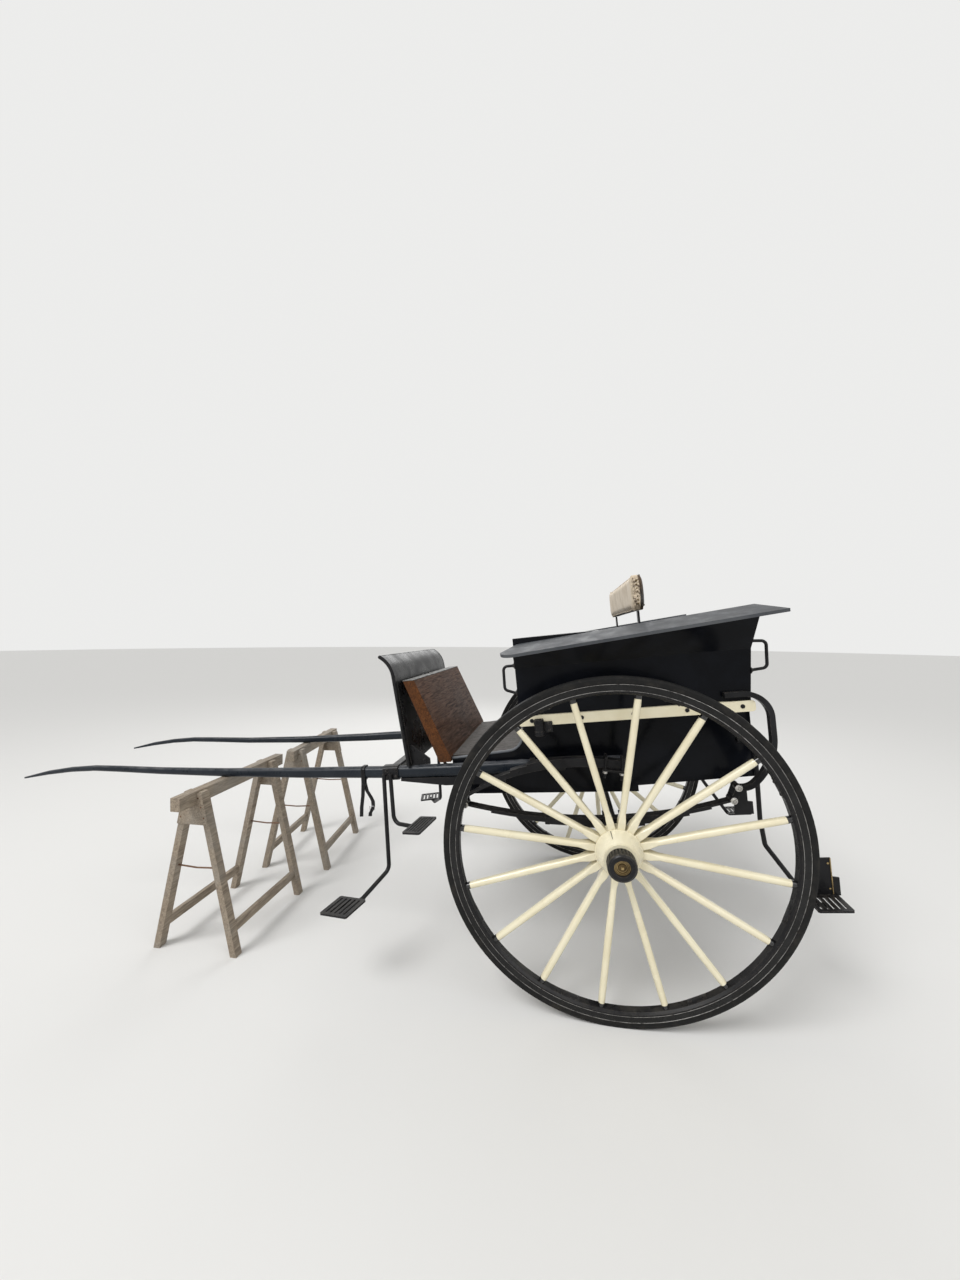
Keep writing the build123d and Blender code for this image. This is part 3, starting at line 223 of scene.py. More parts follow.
@dataclass(frozen=True)
class Paint:
    """Brushed enamel or coach paint, with worn edges, fine brush marks, and paler patches on faces that look
    up: dust, and on the shafts and wings also a painted highlight of their lit tops.
    """

    name: str
    colour: Colour
    shade: Colour
    worn: Colour
    wear: float = 0.4
    # How strongly upward faces take the paler colour: dust, and on the shafts and wings also a painted top
    # highlight.
    dust: float = 0.1
    dust_colour: Colour = (0.30, 0.27, 0.22)
    roughness: Pair = (0.12, 0.35)
    coat: float = 0.6
    mottle: float = 7.0
    brush: Triple = (4.0, 60.0, 60.0)
    pitted: float = 0.0
    specular: float = 0.5

    def build(self) -> Material:
        """Makes the material."""
        graph = Graph(self.name)
        chips = graph.step(graph.noise(90.0, 6.0, 0.7), 0.42, 0.62)
        chipped = graph.math("MULTIPLY", graph.math("MULTIPLY", graph.edges(0.004), chips), self.wear)
        # Paler patches on faces that look up: dust, and where strong, a painted highlight of the lit tops.
        upward_patches = graph.math("MULTIPLY", graph.step(graph.upward(), 0.3, 0.95),
                             graph.step(graph.noise(16.0, 6.0, 0.65), 0.35, 0.75))
        dust_and_top_light = graph.math("MULTIPLY", upward_patches, self.dust)
        smudges = graph.step(graph.noise(11.0, 7.0, 0.7, 0.4), 0.3, 0.75, *self.roughness)
        colour = graph.mix(graph.step(graph.noise(self.mottle, 5.0, 0.6), 0.35, 0.7), self.colour, self.shade)
        colour = graph.mix(dust_and_top_light, graph.mix(chipped, colour, self.worn), self.dust_colour)
        graph.set(Base_Color=self.finish(graph, colour), Roughness=graph.math("ADD", smudges, dust_and_top_light),
                  Specular_IOR_Level=self.specular, Coat_Weight=self.coat, Coat_Roughness=0.08)
        strokes = graph.noise(14.0, 3.0, 0.5, vector=graph.mapped(self.brush, (0, PARK_PITCH, 0)))
        graph.bump(strokes, 0.06, 0.002)
        if self.pitted:
            graph.bump(graph.noise(420.0, 3.0, 0.6), self.pitted, 0.0015)
        return graph.material

    def finish(self, graph: Graph, colour: Socket) -> Socket:
        """What is painted over the colour, which is nothing on most pieces."""
        return colour


@dataclass(frozen=True)
class SpokePaint(Paint):
    """Cream coach paint on the spokes, whose tips are painted black like the felloe."""

    hub: Triple = (0.0, 0.0, 0.0)
    tip_radius: float = 0.573
    tip_fade: float = 0.0008
    tip_colour: Colour = (0.012, 0.012, 0.013)

    def finish(self, graph: Graph, colour: Socket) -> Socket:
        """Paints the tips.

        Args:
            graph: The material's nodes.
            colour: The cream.

        Returns:
            The cream with black tips.
        """
        in_wheel = graph.mapped((1, 0, 1), shift=(-self.hub[0], 0.0, -self.hub[2]))
        radius = graph.node("VectorMath", "Value", in_wheel, operation="LENGTH")
        tip = graph.node("MapRange", "Result", radius, self.tip_radius - self.tip_fade,
                         self.tip_radius + self.tip_fade)
        return graph.mix(tip, colour, self.tip_colour)


@dataclass(frozen=True)
class Timber:
    """Wood with grain along one direction, bare, stained or varnished."""

    name: str
    pale: Colour
    dark: Colour
    weather: Colour
    weathered: float = 0.4
    turn: Triple = (0.0, PARK_PITCH, 0.0)
    stretch: Triple = (1.2, 16.0, 16.0)
    roughness: Pair = (0.5, 0.8)
    coat: float = 0.0
    relief: float = 0.35
    specular: float = 0.4

    def build(self) -> Material:
        """Makes the material."""
        graph = Graph(self.name)
        along = graph.mapped(self.stretch, self.turn)
        grain = graph.noise(6.0, 7.0, 0.62, 1.6, along)
        streaks = graph.noise(38.0, 4.0, 0.6, 0.3, along)
        patches = graph.math("MULTIPLY", graph.step(graph.noise(5.0, 5.0, 0.6), 0.4, 0.7), self.weathered)
        colour = graph.mix(graph.step(grain, 0.32, 0.68), self.dark, self.pale)
        colour = graph.mix(graph.step(streaks, 0.55, 0.75, 0.0, 0.45), colour, self.dark)
        graph.set(Base_Color=graph.mix(patches, colour, self.weather), Coat_Weight=self.coat,
                  Roughness=graph.step(grain, 0.3, 0.7, self.roughness[1], self.roughness[0]),
                  Coat_Roughness=0.12, Specular_IOR_Level=self.specular)
        graph.bump(grain, self.relief, 0.0015)
        graph.bump(streaks, self.relief, 0.0006)
        return graph.material


@dataclass(frozen=True)
class Metal:
    """Bare or polished metal with stains and dark pits."""

    name: str
    colour: Colour
    stain: Colour
    stained: float
    roughness: Pair

    def build(self) -> Material:
        """Makes the material."""
        graph = Graph(self.name)
        blotch = graph.step(graph.noise(28.0, 7.0, 0.7, 0.5), 0.4, 0.68)
        graph.set(Base_Color=graph.mix(graph.math("MULTIPLY", blotch, self.stained), self.colour, self.stain),
                  Roughness=graph.step(blotch, 0.0, 1.0, *self.roughness), Metallic=1.0)
        graph.bump(graph.noise(260.0, 4.0, 0.6), 0.12, 0.0006)
        return graph.material


@dataclass(frozen=True)
class Rubber:
    """Black solid rubber, dusted and scuffed grey on its tread."""

    name: str
    colour: Colour = (0.010, 0.010, 0.010)
    dust: Colour = (0.085, 0.075, 0.062)
    dusted: float = 0.35

    def build(self) -> Material:
        """Makes the material."""
        graph = Graph(self.name)
        scuffs = graph.step(graph.noise(24.0, 8.0, 0.72, 0.6), 0.45, 0.8)
        graph.set(Base_Color=graph.mix(graph.math("MULTIPLY", scuffs, self.dusted), self.colour, self.dust),
                  Roughness=graph.step(scuffs, 0.0, 1.0, 0.55, 0.85), Specular_IOR_Level=0.14)
        graph.bump(graph.noise(330.0, 4.0, 0.7), 0.25, 0.0008)
        return graph.material


@dataclass(frozen=True)
class Hide:
    """Leather or coated cloth with a fine pebbled grain."""

    name: str
    colour: Colour
    shade: Colour
    worn: Colour
    wear: float = 0.3
    roughness: Pair = (0.3, 0.55)
    grain: float = 520.0
    relief: float = 0.25
    specular: float = 0.5

    def build(self) -> Material:
        """Makes the material."""
        graph = Graph(self.name)
        cloudy = graph.noise(9.0, 6.0, 0.62)
        rubbed = graph.math("MULTIPLY", graph.edges(0.006), self.wear)
        colour = graph.mix(graph.step(cloudy, 0.35, 0.7), self.colour, self.shade)
        graph.set(Base_Color=graph.mix(rubbed, colour, self.worn), Specular_IOR_Level=self.specular,
                  Roughness=graph.step(cloudy, 0.3, 0.7, *self.roughness))
        graph.bump(graph.cells(self.grain), self.relief, 0.0006)
        return graph.material


@dataclass(frozen=True)
class PadCover:
    """The backrest's covering: off-white and creased in front, dark and cracked behind."""

    name: str
    axle: Triple
    front: Colour = (0.70, 0.585, 0.435)
    shade: Colour = (0.58, 0.475, 0.345)
    back: Colour = (0.016, 0.014, 0.012)
    stain: Colour = (0.075, 0.045, 0.022)
    seam: Pair = (BACKREST_U - 0.005, BACKREST_U - 0.008)
    end_span: Pair = (0.428, 0.444)

    def build(self) -> Material:
        """Makes the material."""
        graph = Graph(self.name)
        level = graph.mapped(turn=(0, -PARK_PITCH, 0), shift=tuple(-a for a in self.axle))
        ahead, across = (graph.node("SeparateXYZ", axis, level) for axis in "XY")
        waver = graph.math("MULTIPLY_ADD", graph.noise(42.0, 5.0, 0.7), 0.016, -0.008)
        behind = graph.step(graph.math("ADD", ahead, waver), *self.seam)
        cloudy = graph.noise(13.0, 7.0, 0.66, 0.6)
        ends = graph.step(graph.math("ABSOLUTE", across), *self.end_span)
        cracks = graph.step(graph.cells(85.0, "DISTANCE_TO_EDGE", graph.mapped((1.0, 0.7, 1.3))), 0.10, 0.02)
        cracks = graph.math("MULTIPLY", cracks, graph.math("MULTIPLY_ADD", ends, 0.85, 0.05))
        torn = graph.math("MULTIPLY", ends, graph.step(graph.noise(70.0, 5.0, 0.7), 0.47, 0.60))
        pale = graph.mix(graph.step(cloudy, 0.36, 0.70), self.front, self.shade)
        for share in (graph.math("MULTIPLY", cracks, 0.75), torn):
            pale = graph.mix(share, pale, self.stain)
        dark = graph.mix(graph.step(cloudy, 0.42, 0.62), self.back, self.stain)
        graph.set(Base_Color=graph.mix(behind, pale, dark), Sheen_Weight=0.08,
                  Roughness=graph.step(cloudy, 0.3, 0.7, 0.42, 0.68))
        graph.bump(graph.cells(640.0), 0.22, 0.0005)
        graph.bump(graph.noise(24.0, 5.0, 0.6, 1.2), 0.35, 0.004)
        graph.bump(graph.math("SUBTRACT", 1.0, cracks), 0.5, 0.0012)
        return graph.material


Finish = Paint | Timber | Metal | Rubber | Hide | PadCover


@dataclass
class Studio:
    """The floor, the lights, and the camera at the photograph's viewing angle."""

    axle_x: float
    camera_at: Triple = (0.2145, 2.486, 1.452)
    yaw: float = 9.56
    pitch: float = 0.9
    roll: float = 0.29
    lens: float = 13.5
    sensor: float = 36.0
    floor_radius: float = 45.0
    floor_colour: Colour = (0.76, 0.755, 0.74)
    back_colour: Colour = (0.86, 0.86, 0.85)
    back_strength: Pair = (0.55, 0.98)
    daylight: float = 1.5
    daylight_spread: float = 25.0
    daylight_way: Triple = (-1.0, -1.3, -2.0)
    lamp_aim: Triple = (0, 0, 0.7)
    lamps: tuple = (("key", (3.0, 4.2, 5.2), 4.5, 90.0), ("fill", (-4.5, 3.6, 3.4), 4.0, 60.0),
                    ("back", (0.5, -4.6, 4.6), 5.0, 90.0))

    def build(self) -> None:
        """Makes the whole stage."""
        self.add_camera()
        self.add_floor()
        self.hang("daylight", "SUN", (0, 0, 0), Vector(self.daylight_way), energy=self.daylight,
                  angle=radians(self.daylight_spread))
        for name, place, size, power in self.lamps:
            way = Vector(self.lamp_aim) - Vector(place)
            self.hang(name, "AREA", place, way, shape="DISK", size=size, energy=power)
        self.add_surround()
        bpy.context.scene.view_settings.view_transform = "Standard"

    def add_camera(self) -> None:
        """Sets the camera at the photograph's place and angle."""
        data = bpy.data.cameras.new("viewpoint")
        data.sensor_fit = "VERTICAL"
        data.sensor_height = self.sensor
        data.lens = self.lens
        data.clip_start = 0.05
        camera = bpy.data.objects.new("viewpoint", data)
        bpy.context.scene.collection.objects.link(camera)
        square = Matrix(((-1, 0, 0), (0, 0, -1), (0, -1, 0)))
        swung = square @ Matrix.Rotation(radians(self.yaw), 3, "Z").transposed()
        tipped = Matrix.Rotation(radians(self.pitch), 3, "X") @ swung
        rows = Matrix.Rotation(radians(self.roll), 3, "Z") @ tipped
        axes = Matrix((rows[0], -rows[1], -rows[2])).transposed().to_4x4()
        camera.matrix_world = Matrix.Translation(Vector(self.camera_at) + Vector((self.axle_x, 0, 0))) @ axes
        bpy.context.scene.camera = camera

    def add_floor(self) -> None:
        """Lays a wide pale floor."""
        bpy.ops.mesh.primitive_circle_add(vertices=96, radius=self.floor_radius, fill_type="NGON",
                                          location=(0, 0, 0))
        floor = bpy.context.object
        floor.name = "studio_floor"
        graph = Graph("studio_floor")
        graph.set(Base_Color=self.floor_colour, Roughness=0.9, Specular_IOR_Level=0.1)
        floor.data.materials.append(graph.material)

    def hang(self, name: str, kind: str, place: Triple, way: Vector, **settings: object) -> None:
        """Hangs one lamp.

        Args:
            name: The lamp's name.
            kind: Blender's word for its kind.
            place: Where it hangs.
            way: Where it shines.
            settings: Its own properties.
        """
        data = bpy.data.lights.new(name, kind)
        for key, value in settings.items():
            setattr(data, key, value)
        lamp = bpy.data.objects.new(name, data)
        bpy.context.scene.collection.objects.link(lamp)
        lamp.location = place
        lamp.rotation_euler = way.to_track_quat("-Z", "Y").to_euler()

    def add_surround(self) -> None:
        """Makes the pale surround, whose light is weaker than how it looks and mirrors."""
        world = bpy.data.worlds.new("surround")
        world.use_nodes = True
        nodes, links = world.node_tree.nodes, world.node_tree.links
        background = nodes["Background"]
        background.inputs["Color"].default_value = (*self.back_colour, 1.0)
        rays = nodes.new("ShaderNodeLightPath").outputs
        seen = rays["Is Camera Ray"]
        for ray in ("Is Glossy Ray", "Is Transmission Ray"):
            either = nodes.new("ShaderNodeMath")
            either.operation = "MAXIMUM"
            links.new(seen, either.inputs[0])
            links.new(rays[ray], either.inputs[1])
            seen = either.outputs["Value"]
        strength = nodes.new("ShaderNodeMapRange")
        strength.inputs["To Min"].default_value, strength.inputs["To Max"].default_value = self.back_strength
        links.new(seen, strength.inputs["Value"])
        links.new(strength.outputs["Result"], background.inputs["Strength"])
        bpy.context.scene.world = world


class Bench:
    """One piece on the bench: a primitive, shaped in edit mode, before it goes on the cart."""

    def __init__(self, piece: bpy.types.Object) -> None:
        """Takes a piece."""
        self.piece = piece

    @classmethod
    def start(cls, add: Callable[..., object], **settings: object) -> "Bench":
        """Adds a primitive with nothing else selected.

        Args:
            add: Blender's operator that adds it.
            settings: Its size and place.

        Returns:
            The bench with the primitive.
        """
        bpy.ops.object.select_all(action="DESELECT")
        add(**settings)
        return cls(bpy.context.object)

    def edit(self, kind: str = "VERT", action: str = "DESELECT") -> bmesh.types.BMesh:
        """Enters edit mode with everything or nothing selected.

        Args:
            kind: What is selected from here on.
            action: Blender's word for selecting or deselecting all.

        Returns:
            The mesh in edit mode.
        """
        bpy.ops.object.mode_set(mode="EDIT")
        bpy.ops.mesh.select_mode(type=kind)
        bpy.ops.mesh.select_all(action=action)
        return bmesh.from_edit_mesh(self.piece.data)

    def all(self) -> "Bench":
        """Selects the whole mesh in edit mode."""
        self.edit(action="SELECT")
        return self

    def faces(self, test: Test) -> "Bench":
        """Selects faces in edit mode.

        Args:
            test: Tells from a face's centre and normal whether it is wanted.

        Returns:
            This bench.
        """
        shape = self.edit("FACE")
        for face in shape.faces:
            face.select_set(test(face.calc_center_median(), face.normal))
        bmesh.update_edit_mesh(self.piece.data)
        return self

    def edges(self, test: Test) -> "Bench":
        """Selects edges in edit mode.

        Args:
            test: Tells from an edge's two ends whether it is wanted.

        Returns:
            This bench.
        """
        shape = self.edit("EDGE")
        for edge in shape.edges:
            edge.select_set(test(*(corner.co for corner in edge.verts)))
        bmesh.update_edit_mesh(self.piece.data)
        return self

    def extrude(self, *by: float) -> "Bench":
        """Extrudes what is selected by a step along X, Y and Z."""
        bpy.ops.mesh.extrude_region_move(TRANSFORM_OT_translate={"value": by})
        return self

    def resize(self, *by: float) -> "Bench":
        """Resizes what is selected about its middle."""
        bpy.ops.transform.resize(value=by)
        return self

    def inset(self, width: float) -> "Bench":
        """Insets the selected faces."""
        bpy.ops.mesh.inset(thickness=width)
        return self

    def bevel(self, width: float, segments: int = 2) -> "Bench":
        """Bevels the selected edges."""
        bpy.ops.mesh.bevel(offset=width, segments=segments, affect="EDGES")
        return self.tidy()

    def tidy(self) -> "Bench":
        """Merges doubles, turns the faces outwards and leaves edit mode."""
        self.all()
        bpy.ops.mesh.remove_doubles(threshold=1e-5)
        bpy.ops.mesh.normals_make_consistent(inside=False)
        bpy.ops.object.mode_set(mode="OBJECT")
        return self

    def modify(self, kind: str, **settings: object) -> "Bench":
        """Adds a modifier and applies it.

        Args:
            kind: Blender's type name of the modifier.
            settings: Its properties.

        Returns:
            This bench.
        """
        modifier = self.piece.modifiers.new(kind.lower(), kind)
        for key, value in settings.items():
            setattr(modifier, key, value)
        bpy.ops.object.modifier_apply(modifier=modifier.name)
        return self

    def move(self, place: Matrix) -> "Bench":
        """Moves the mesh itself."""
        self.piece.data.transform(place)
        return self

    def twin(self) -> "Bench":
        """Copies the piece with a mesh of its own."""
        twin = self.piece.copy()
        twin.data = self.piece.data.copy()
        bpy.context.scene.collection.objects.link(twin)
        return Bench(twin)

    def discard(self) -> None:
        """Takes the piece off the bench for good."""
        bpy.data.objects.remove(self.piece)

    def settle(self) -> "Bench":
        """Applies the object's place, so that its mesh holds it."""
        bpy.ops.object.select_all(action="DESELECT")
        self.piece.select_set(True)
        bpy.context.view_layer.objects.active = self.piece
        bpy.ops.object.transform_apply(location=True, rotation=True, scale=True)
        return self

    def copies(self, places: Sequence[Matrix]) -> "Bench":
        """Copies the piece to each place and joins the copies.

        Args:
            places: Where each copy goes, from the origin.

        Returns:
            A bench with the joined piece.
        """
        self.settle()
        made = [self.twin().move(place) for place in places]
        self.discard()
        return joined(made)


def joined(benches: Sequence[Bench]) -> Bench:
    """Joins pieces.

    Args:
        benches: The pieces.

    Returns:
        The first of them, with all the others in it.
    """
    bpy.ops.object.select_all(action="DESELECT")
    for bench in benches:
        bench.piece.select_set(True)
    bpy.context.view_layer.objects.active = benches[0].piece
    if len(benches) > 1:
        bpy.ops.object.join()
    return benches[0].settle()


def turned(rings: Sequence[Pair], sides: int = 64, solid: bool = False) -> Bench:
    """Turns a piece about Z, from ring to ring of its profile.

    Args:
        rings: Radius and height of each ring. A hollow piece's profile is closed by its first.
        sides: Sides of the circle.
        solid: Whether the first and last ring are closed with a face.

    Returns:
        The turned piece.
    """
    radius, height = rings[0]
    bench = Bench.start(bpy.ops.mesh.primitive_circle_add, vertices=sides, radius=radius,
                        location=(0, 0, height), fill_type="NGON" if solid else "NOTHING").all()
    follow = rings if solid else [*rings, rings[0]]
    for (near, low), (far, high) in zip(follow, follow[1:]):
        bench.extrude(0, 0, high - low).resize(far/near, far/near, 1.0)
    return bench.tidy().settle()


def bead(radius: float, height: float, profile: Sequence[Pair], sides: int = 72) -> Bench:
    """Turns a ring with a profile, which is given out from a radius and up from a height."""
    return turned([(radius + out, height + up) for out, up in profile], sides)


def rod(route: Route, radius: float, closed: bool = False, sides: int = 8) -> Bench:
    """Bends a round rod along a route.

    Args:
        route: Points of its middle line.
        radius: The rod's.
        closed: Whether it ends where it starts.
        sides: Sides of its section.

    Returns:
        The rod, as a mesh.
    """
    line = Bench.start(bpy.ops.curve.primitive_bezier_curve_add, location=(0, 0, 0)).piece.data
    line.splines.clear()
    spline = line.splines.new("POLY")
    spline.points.add(len(route) - 1)
    for point, place in zip(spline.points, route):
        point.co = (*place, 1.0)
    spline.use_cyclic_u = closed
    line.bevel_depth = radius
    line.bevel_resolution = (sides - 4)//2
    line.use_fill_caps = True
    bpy.ops.object.convert(target="MESH")
    return Bench(bpy.context.object).tidy()


def strap(route: Route, width: float, thickness: float) -> Bench:
    """Extrudes a flat strap along a route, with its width along X.

    Args:
        route: Points of its middle line.
        width: The strap's.
        thickness: The strap's.

    Returns:
        The strap.
    """
    bench = Bench.start(bpy.ops.mesh.primitive_plane_add, size=1.0, location=route[0])
    bench.all().resize(width, 0.0, 1.0)
    bpy.ops.mesh.remove_doubles(threshold=1e-5)
    bpy.ops.mesh.select_all(action="SELECT")
    for near, far in zip(route, route[1:]):
        bench.extrude(*(b - a for a, b in zip(near, far)))
    bench.tidy()
    bench.modify("SOLIDIFY", thickness=thickness, offset=0.0)
    return bench.modify("BEVEL", width=thickness*0.22, segments=2).settle()


def block(size: Triple, place: Triple) -> Bench:
    """Stretches a cube to a size, and stays in edit mode."""
    return Bench.start(bpy.ops.mesh.primitive_cube_add, size=1.0, location=place).all().resize(*size)


def plate(size: Triple, place: Triple, edge: float = 0.001) -> Bench:
    """A plate with bevelled edges."""
    return block(size, place).bevel(edge).settle()


def hex_nut(radius: float, height: float, tip: float) -> Bench:
    """A nut that stands up along Z, on a washer and with the bolt's end through it.

    Args:
        radius: To the nut's corners.
        height: Of the nut.
        tip: How far the bolt's end stands out of it.

    Returns:
        The nut at the origin.
    """
    washer = 0.18*height
    body = Bench.start(bpy.ops.mesh.primitive_cylinder_add, vertices=6, radius=radius, depth=height,
                       location=(0, 0, washer + height/2))
    body.faces(lambda c, n: n.z > 0.9).inset(radius*0.10)
    body.extrude(0, 0, height*0.10).inset(radius*0.30).extrude(0, 0, tip).resize(0.85, 0.85, 1.0)
    body.tidy()
    disc = turned(((radius*1.25, 0.0), (radius*1.25, washer*0.6), (radius*1.15, washer)), 20, True)
    return joined([body, disc])


def round_head(radius: float, height: float) -> Bench:
    """A low domed bolt or nail head that stands up along Z."""
    dome = ((1.0, 0.0), (1.0, 0.3), (0.86, 0.72), (0.5, 0.96), (0.15, 1.0))
    return turned([(radius*out, height*up) for out, up in dome], 14, True)


def facing(place: Triple, way: Triple, turn: float = 0.0) -> Matrix:
    """Stands a piece's Z along a direction.

    Args:
        place: Where its origin goes.
        way: Where its Z points.
        turn: Degrees about that direction.

    Returns:
        The matrix of the place.
    """
    tilt = Vector((0, 0, 1)).rotation_difference(Vector(way)).to_matrix().to_4x4()
    return Matrix.Translation(place) @ tilt @ Matrix.Rotation(radians(turn), 4, "Z")


@dataclass
class Shop:
    """What every sub-assembly is fitted with: the cart's stance and its finishes."""

    axle: Triple
    wheel_y: float
    looks: dict[str, Material]

    @property
    def stance(self) -> Matrix:
        """Takes a point of the level cart to where it stands."""
        return Matrix.Translation(self.axle) @ Matrix.Rotation(radians(PARK_PITCH), 4, "Y")

    def hub(self, side: Side) -> Matrix:
        """The place of a wheel: its Z is the wheel's axis, outwards.

        Args:
            side: Which wheel.

        Returns:
            The matrix from the wheel's own axes.
        """
        ahead = Vector((1, 0, 0))
        out = Vector((0, side.value*cos(radians(CAMBER)), -sin(radians(CAMBER))))
        axes = Matrix((ahead, out.cross(ahead), out)).transposed().to_4x4()
        return Matrix.Translation((self.axle[0], side.value*self.wheel_y, self.axle[2])) @ axes

    def fit(self, bench: Bench, name: str, slot: str, look: str | None = None, body: str = "cart",
            place: Matrix | None = None, smooth: float = 35.0) -> bpy.types.Object:
        """Sets a piece on the cart, dresses it and rides it on a body.

        Args:
            bench: The piece.
            name: Its name.
            slot: The record's material slot.
            look: Its finish, if that isn't the slot's own.
            body: The body it moves with.
            place: Where its axes go, if that isn't the level cart's.
            smooth: Edges sharper than this many degrees stay sharp.

        Returns:
            The finished piece.
        """
        place = place or self.stance
        piece = bench.settle().move(place).piece
        piece.name = piece.data.name = name
        if place.determinant() < 0:
            bench.tidy()
        bpy.ops.object.shade_smooth_by_angle(angle=radians(smooth))
        piece.data.materials.clear()
        piece.data.materials.append(self.looks[look or slot])
        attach(piece, body)
        LOG.info("fitted %s on %s, %d faces", name, body, len(piece.data.polygons))
        return piece

    def pair(self, bench: Bench, name: str, slot: str, look: str | None = None, wheels: bool = False) -> None:
        """Sets a piece on each side.

        Args:
            bench: The piece, on the level cart's left or in a wheel's own axes.
            name: Its name, after the side's word.
            slot: The record's material slot.
            look: Its finish, if that isn't the slot's own.
            wheels: Whether each wheel has one, and not the body one and its mirror image.
        """
        bench.settle()
        for side in Side:
            place = self.hub(side) if wheels else self.stance @ Matrix.Diagonal((1, side.value, 1, 1))
            body = f"{side.word}_wheel" if wheels else "cart"
            self.fit(bench.twin(), f"{side.word}_{name}", slot, look, body, place)
        bench.discard()


@dataclass
class WheelDetail:
    """The turned and bolted detail of both wheels, in the wheel's own axes."""

    shop: Shop
    lips: tuple = ((0.6015, 0.0203, 0.0012), (0.6247, 0.0197, 0.0013))
    lip_profile: tuple = ((-1, 0), (-0.6, 0.8), (0, 1), (0.6, 0.8), (1, 0), (0, -0.5))
    felloe_inner: float = 0.588
    clip: Triple = (0.070, 0.026, 0.003)
    clip_lift: float = 0.0012
    clip_bolts: float = 0.024
    bolt_lift: float = 0.0027
    bolt: Pair = (0.0055, 0.004)
    clip_angles: tuple = tuple(28.25 + 45.0*number for number in range(8))
    nave_beads: tuple = ((0.0842, -0.0125), (0.0842, -0.0635), (0.0605, 0.0440), (0.0605, -0.1000))
    nave_profile: tuple = ((-0.003, -0.0035), (0.0012, -0.0024), (0.0022, 0), (0.0012, 0.0024),
                           (-0.003, 0.0035))
    crack: tuple = ((0.0845, -0.012, 0.0), (0.0838, -0.002, 0.004), (0.0806, 0.007, -0.006),
                    (0.0772, 0.015, 0.010), (0.0712, 0.024, 0.004))
    crack_angle: float = -69.0
    crack_radius: float = 0.0011
    nose_radius: float = 0.0485
    nose_span: Pair = (0.055, 0.094)
    nose_profile: tuple = ((-0.002, -0.002), (0.0022, -0.0012), (0.0022, 0.0012), (-0.002, 0.002))
    rib: Pair = (0.0056, 0.0052)
    rib_count: int = 26
    rib_edge: float = 0.0012
    lip_drop: float = 0.0005
    cap_rings: tuple = ((0.0262, 0.0913), (0.0218, 0.0908), (0.0165, 0.0884))
    cap_profile: tuple = ((-0.0016, -0.001), (-0.0008, 0.0009), (0.0008, 0.0009), (0.0016, -0.001))
    key: Triple = (0.009, 0.009, 0.006)
    key_height: float = 0.0945

    def build(self) -> None:
        """Builds the detail once and sets a copy on each wheel."""
        pair = self.shop.pair
        pair(self.bright_lines(), "rim_lines", "steel", "worn_lips", True)
        pair(self.felloe_clips(), "felloe_clips", "black_iron", None, True)
        mouldings = joined([bead(radius, height, self.nave_profile) for radius, height in self.nave_beads])
        pair(mouldings, "nave_mouldings", "ivory", None, True)
        # The ribs' pale edges are rub wear and painted highlights.
        pair(self.nose_ribs(), "nose_ribs", "black_iron", "iron_worn_and_highlit_edges", True)
        rings = [bead(radius, height, self.cap_profile, 48) for radius, height in self.cap_rings]
        cap = joined([*rings, plate(self.key, (0, 0, self.key_height))])
        pair(cap, "cap_rings", "brass", "worn_brass", True)
        self.nave_crack()

    def bright_lines(self) -> Bench:
        """The worn rolled lips of the channel, inner and outer, on both of its faces."""
        rings = []
        for radius, face, thick in self.lips:
            for way in (1, -1):
                profile = [(thick*out, way*thick*up) for out, up in self.lip_profile]
                rings.append(bead(radius, way*face, profile, 160))
        return joined(rings)

    def felloe_clips(self) -> Bench:
        """A joint plate with a bolt at each end, wherever two felloes meet."""
        heads = [Matrix.Translation((x, 0, self.bolt_lift)) for x in (-self.clip_bolts, self.clip_bolts)]
        clip = joined([plate(self.clip, (0, 0, self.clip_lift)), round_head(*self.bolt).copies(heads)])
        places = []
        for angle in self.clip_angles:
            c, s = cos(radians(angle)), sin(radians(angle))
            inwards = Matrix(((-s, 0.0, -c), (c, 0.0, -s), (0.0, -1.0, 0.0))).to_4x4()
            places.append(Matrix.Translation((self.felloe_inner*c, self.felloe_inner*s, 0.0)) @ inwards)
        return clip.copies(places)

    def nave_crack(self) -> None:
        """The drying crack that runs down the front of the left nave."""
        start = radians(self.crack_angle)
        route = [(r*cos(start + turn), r*sin(start + turn), z) for r, z, turn in self.crack]
        self.shop.fit(rod(route, self.crack_radius), "left_nave_crack", "black_wood", None, "left_wheel",
                      self.shop.hub(Side.LEFT))

    def nose_ribs(self) -> Bench:
        """Upright ribs round the nose band, with a lip at each end of them."""
        low, high = self.nose_span
        rib = plate((*self.rib, high - low), (self.nose_radius, 0, (low + high)/2), self.rib_edge)
        ribs = rib.copies([Matrix.Rotation(radians(360.0*number/self.rib_count), 4, "Z")
                           for number in range(self.rib_count)])
        lips = [bead(self.nose_radius, height, self.nose_profile) for height in (low - self.lip_drop, high)]
        return joined([ribs, *lips])


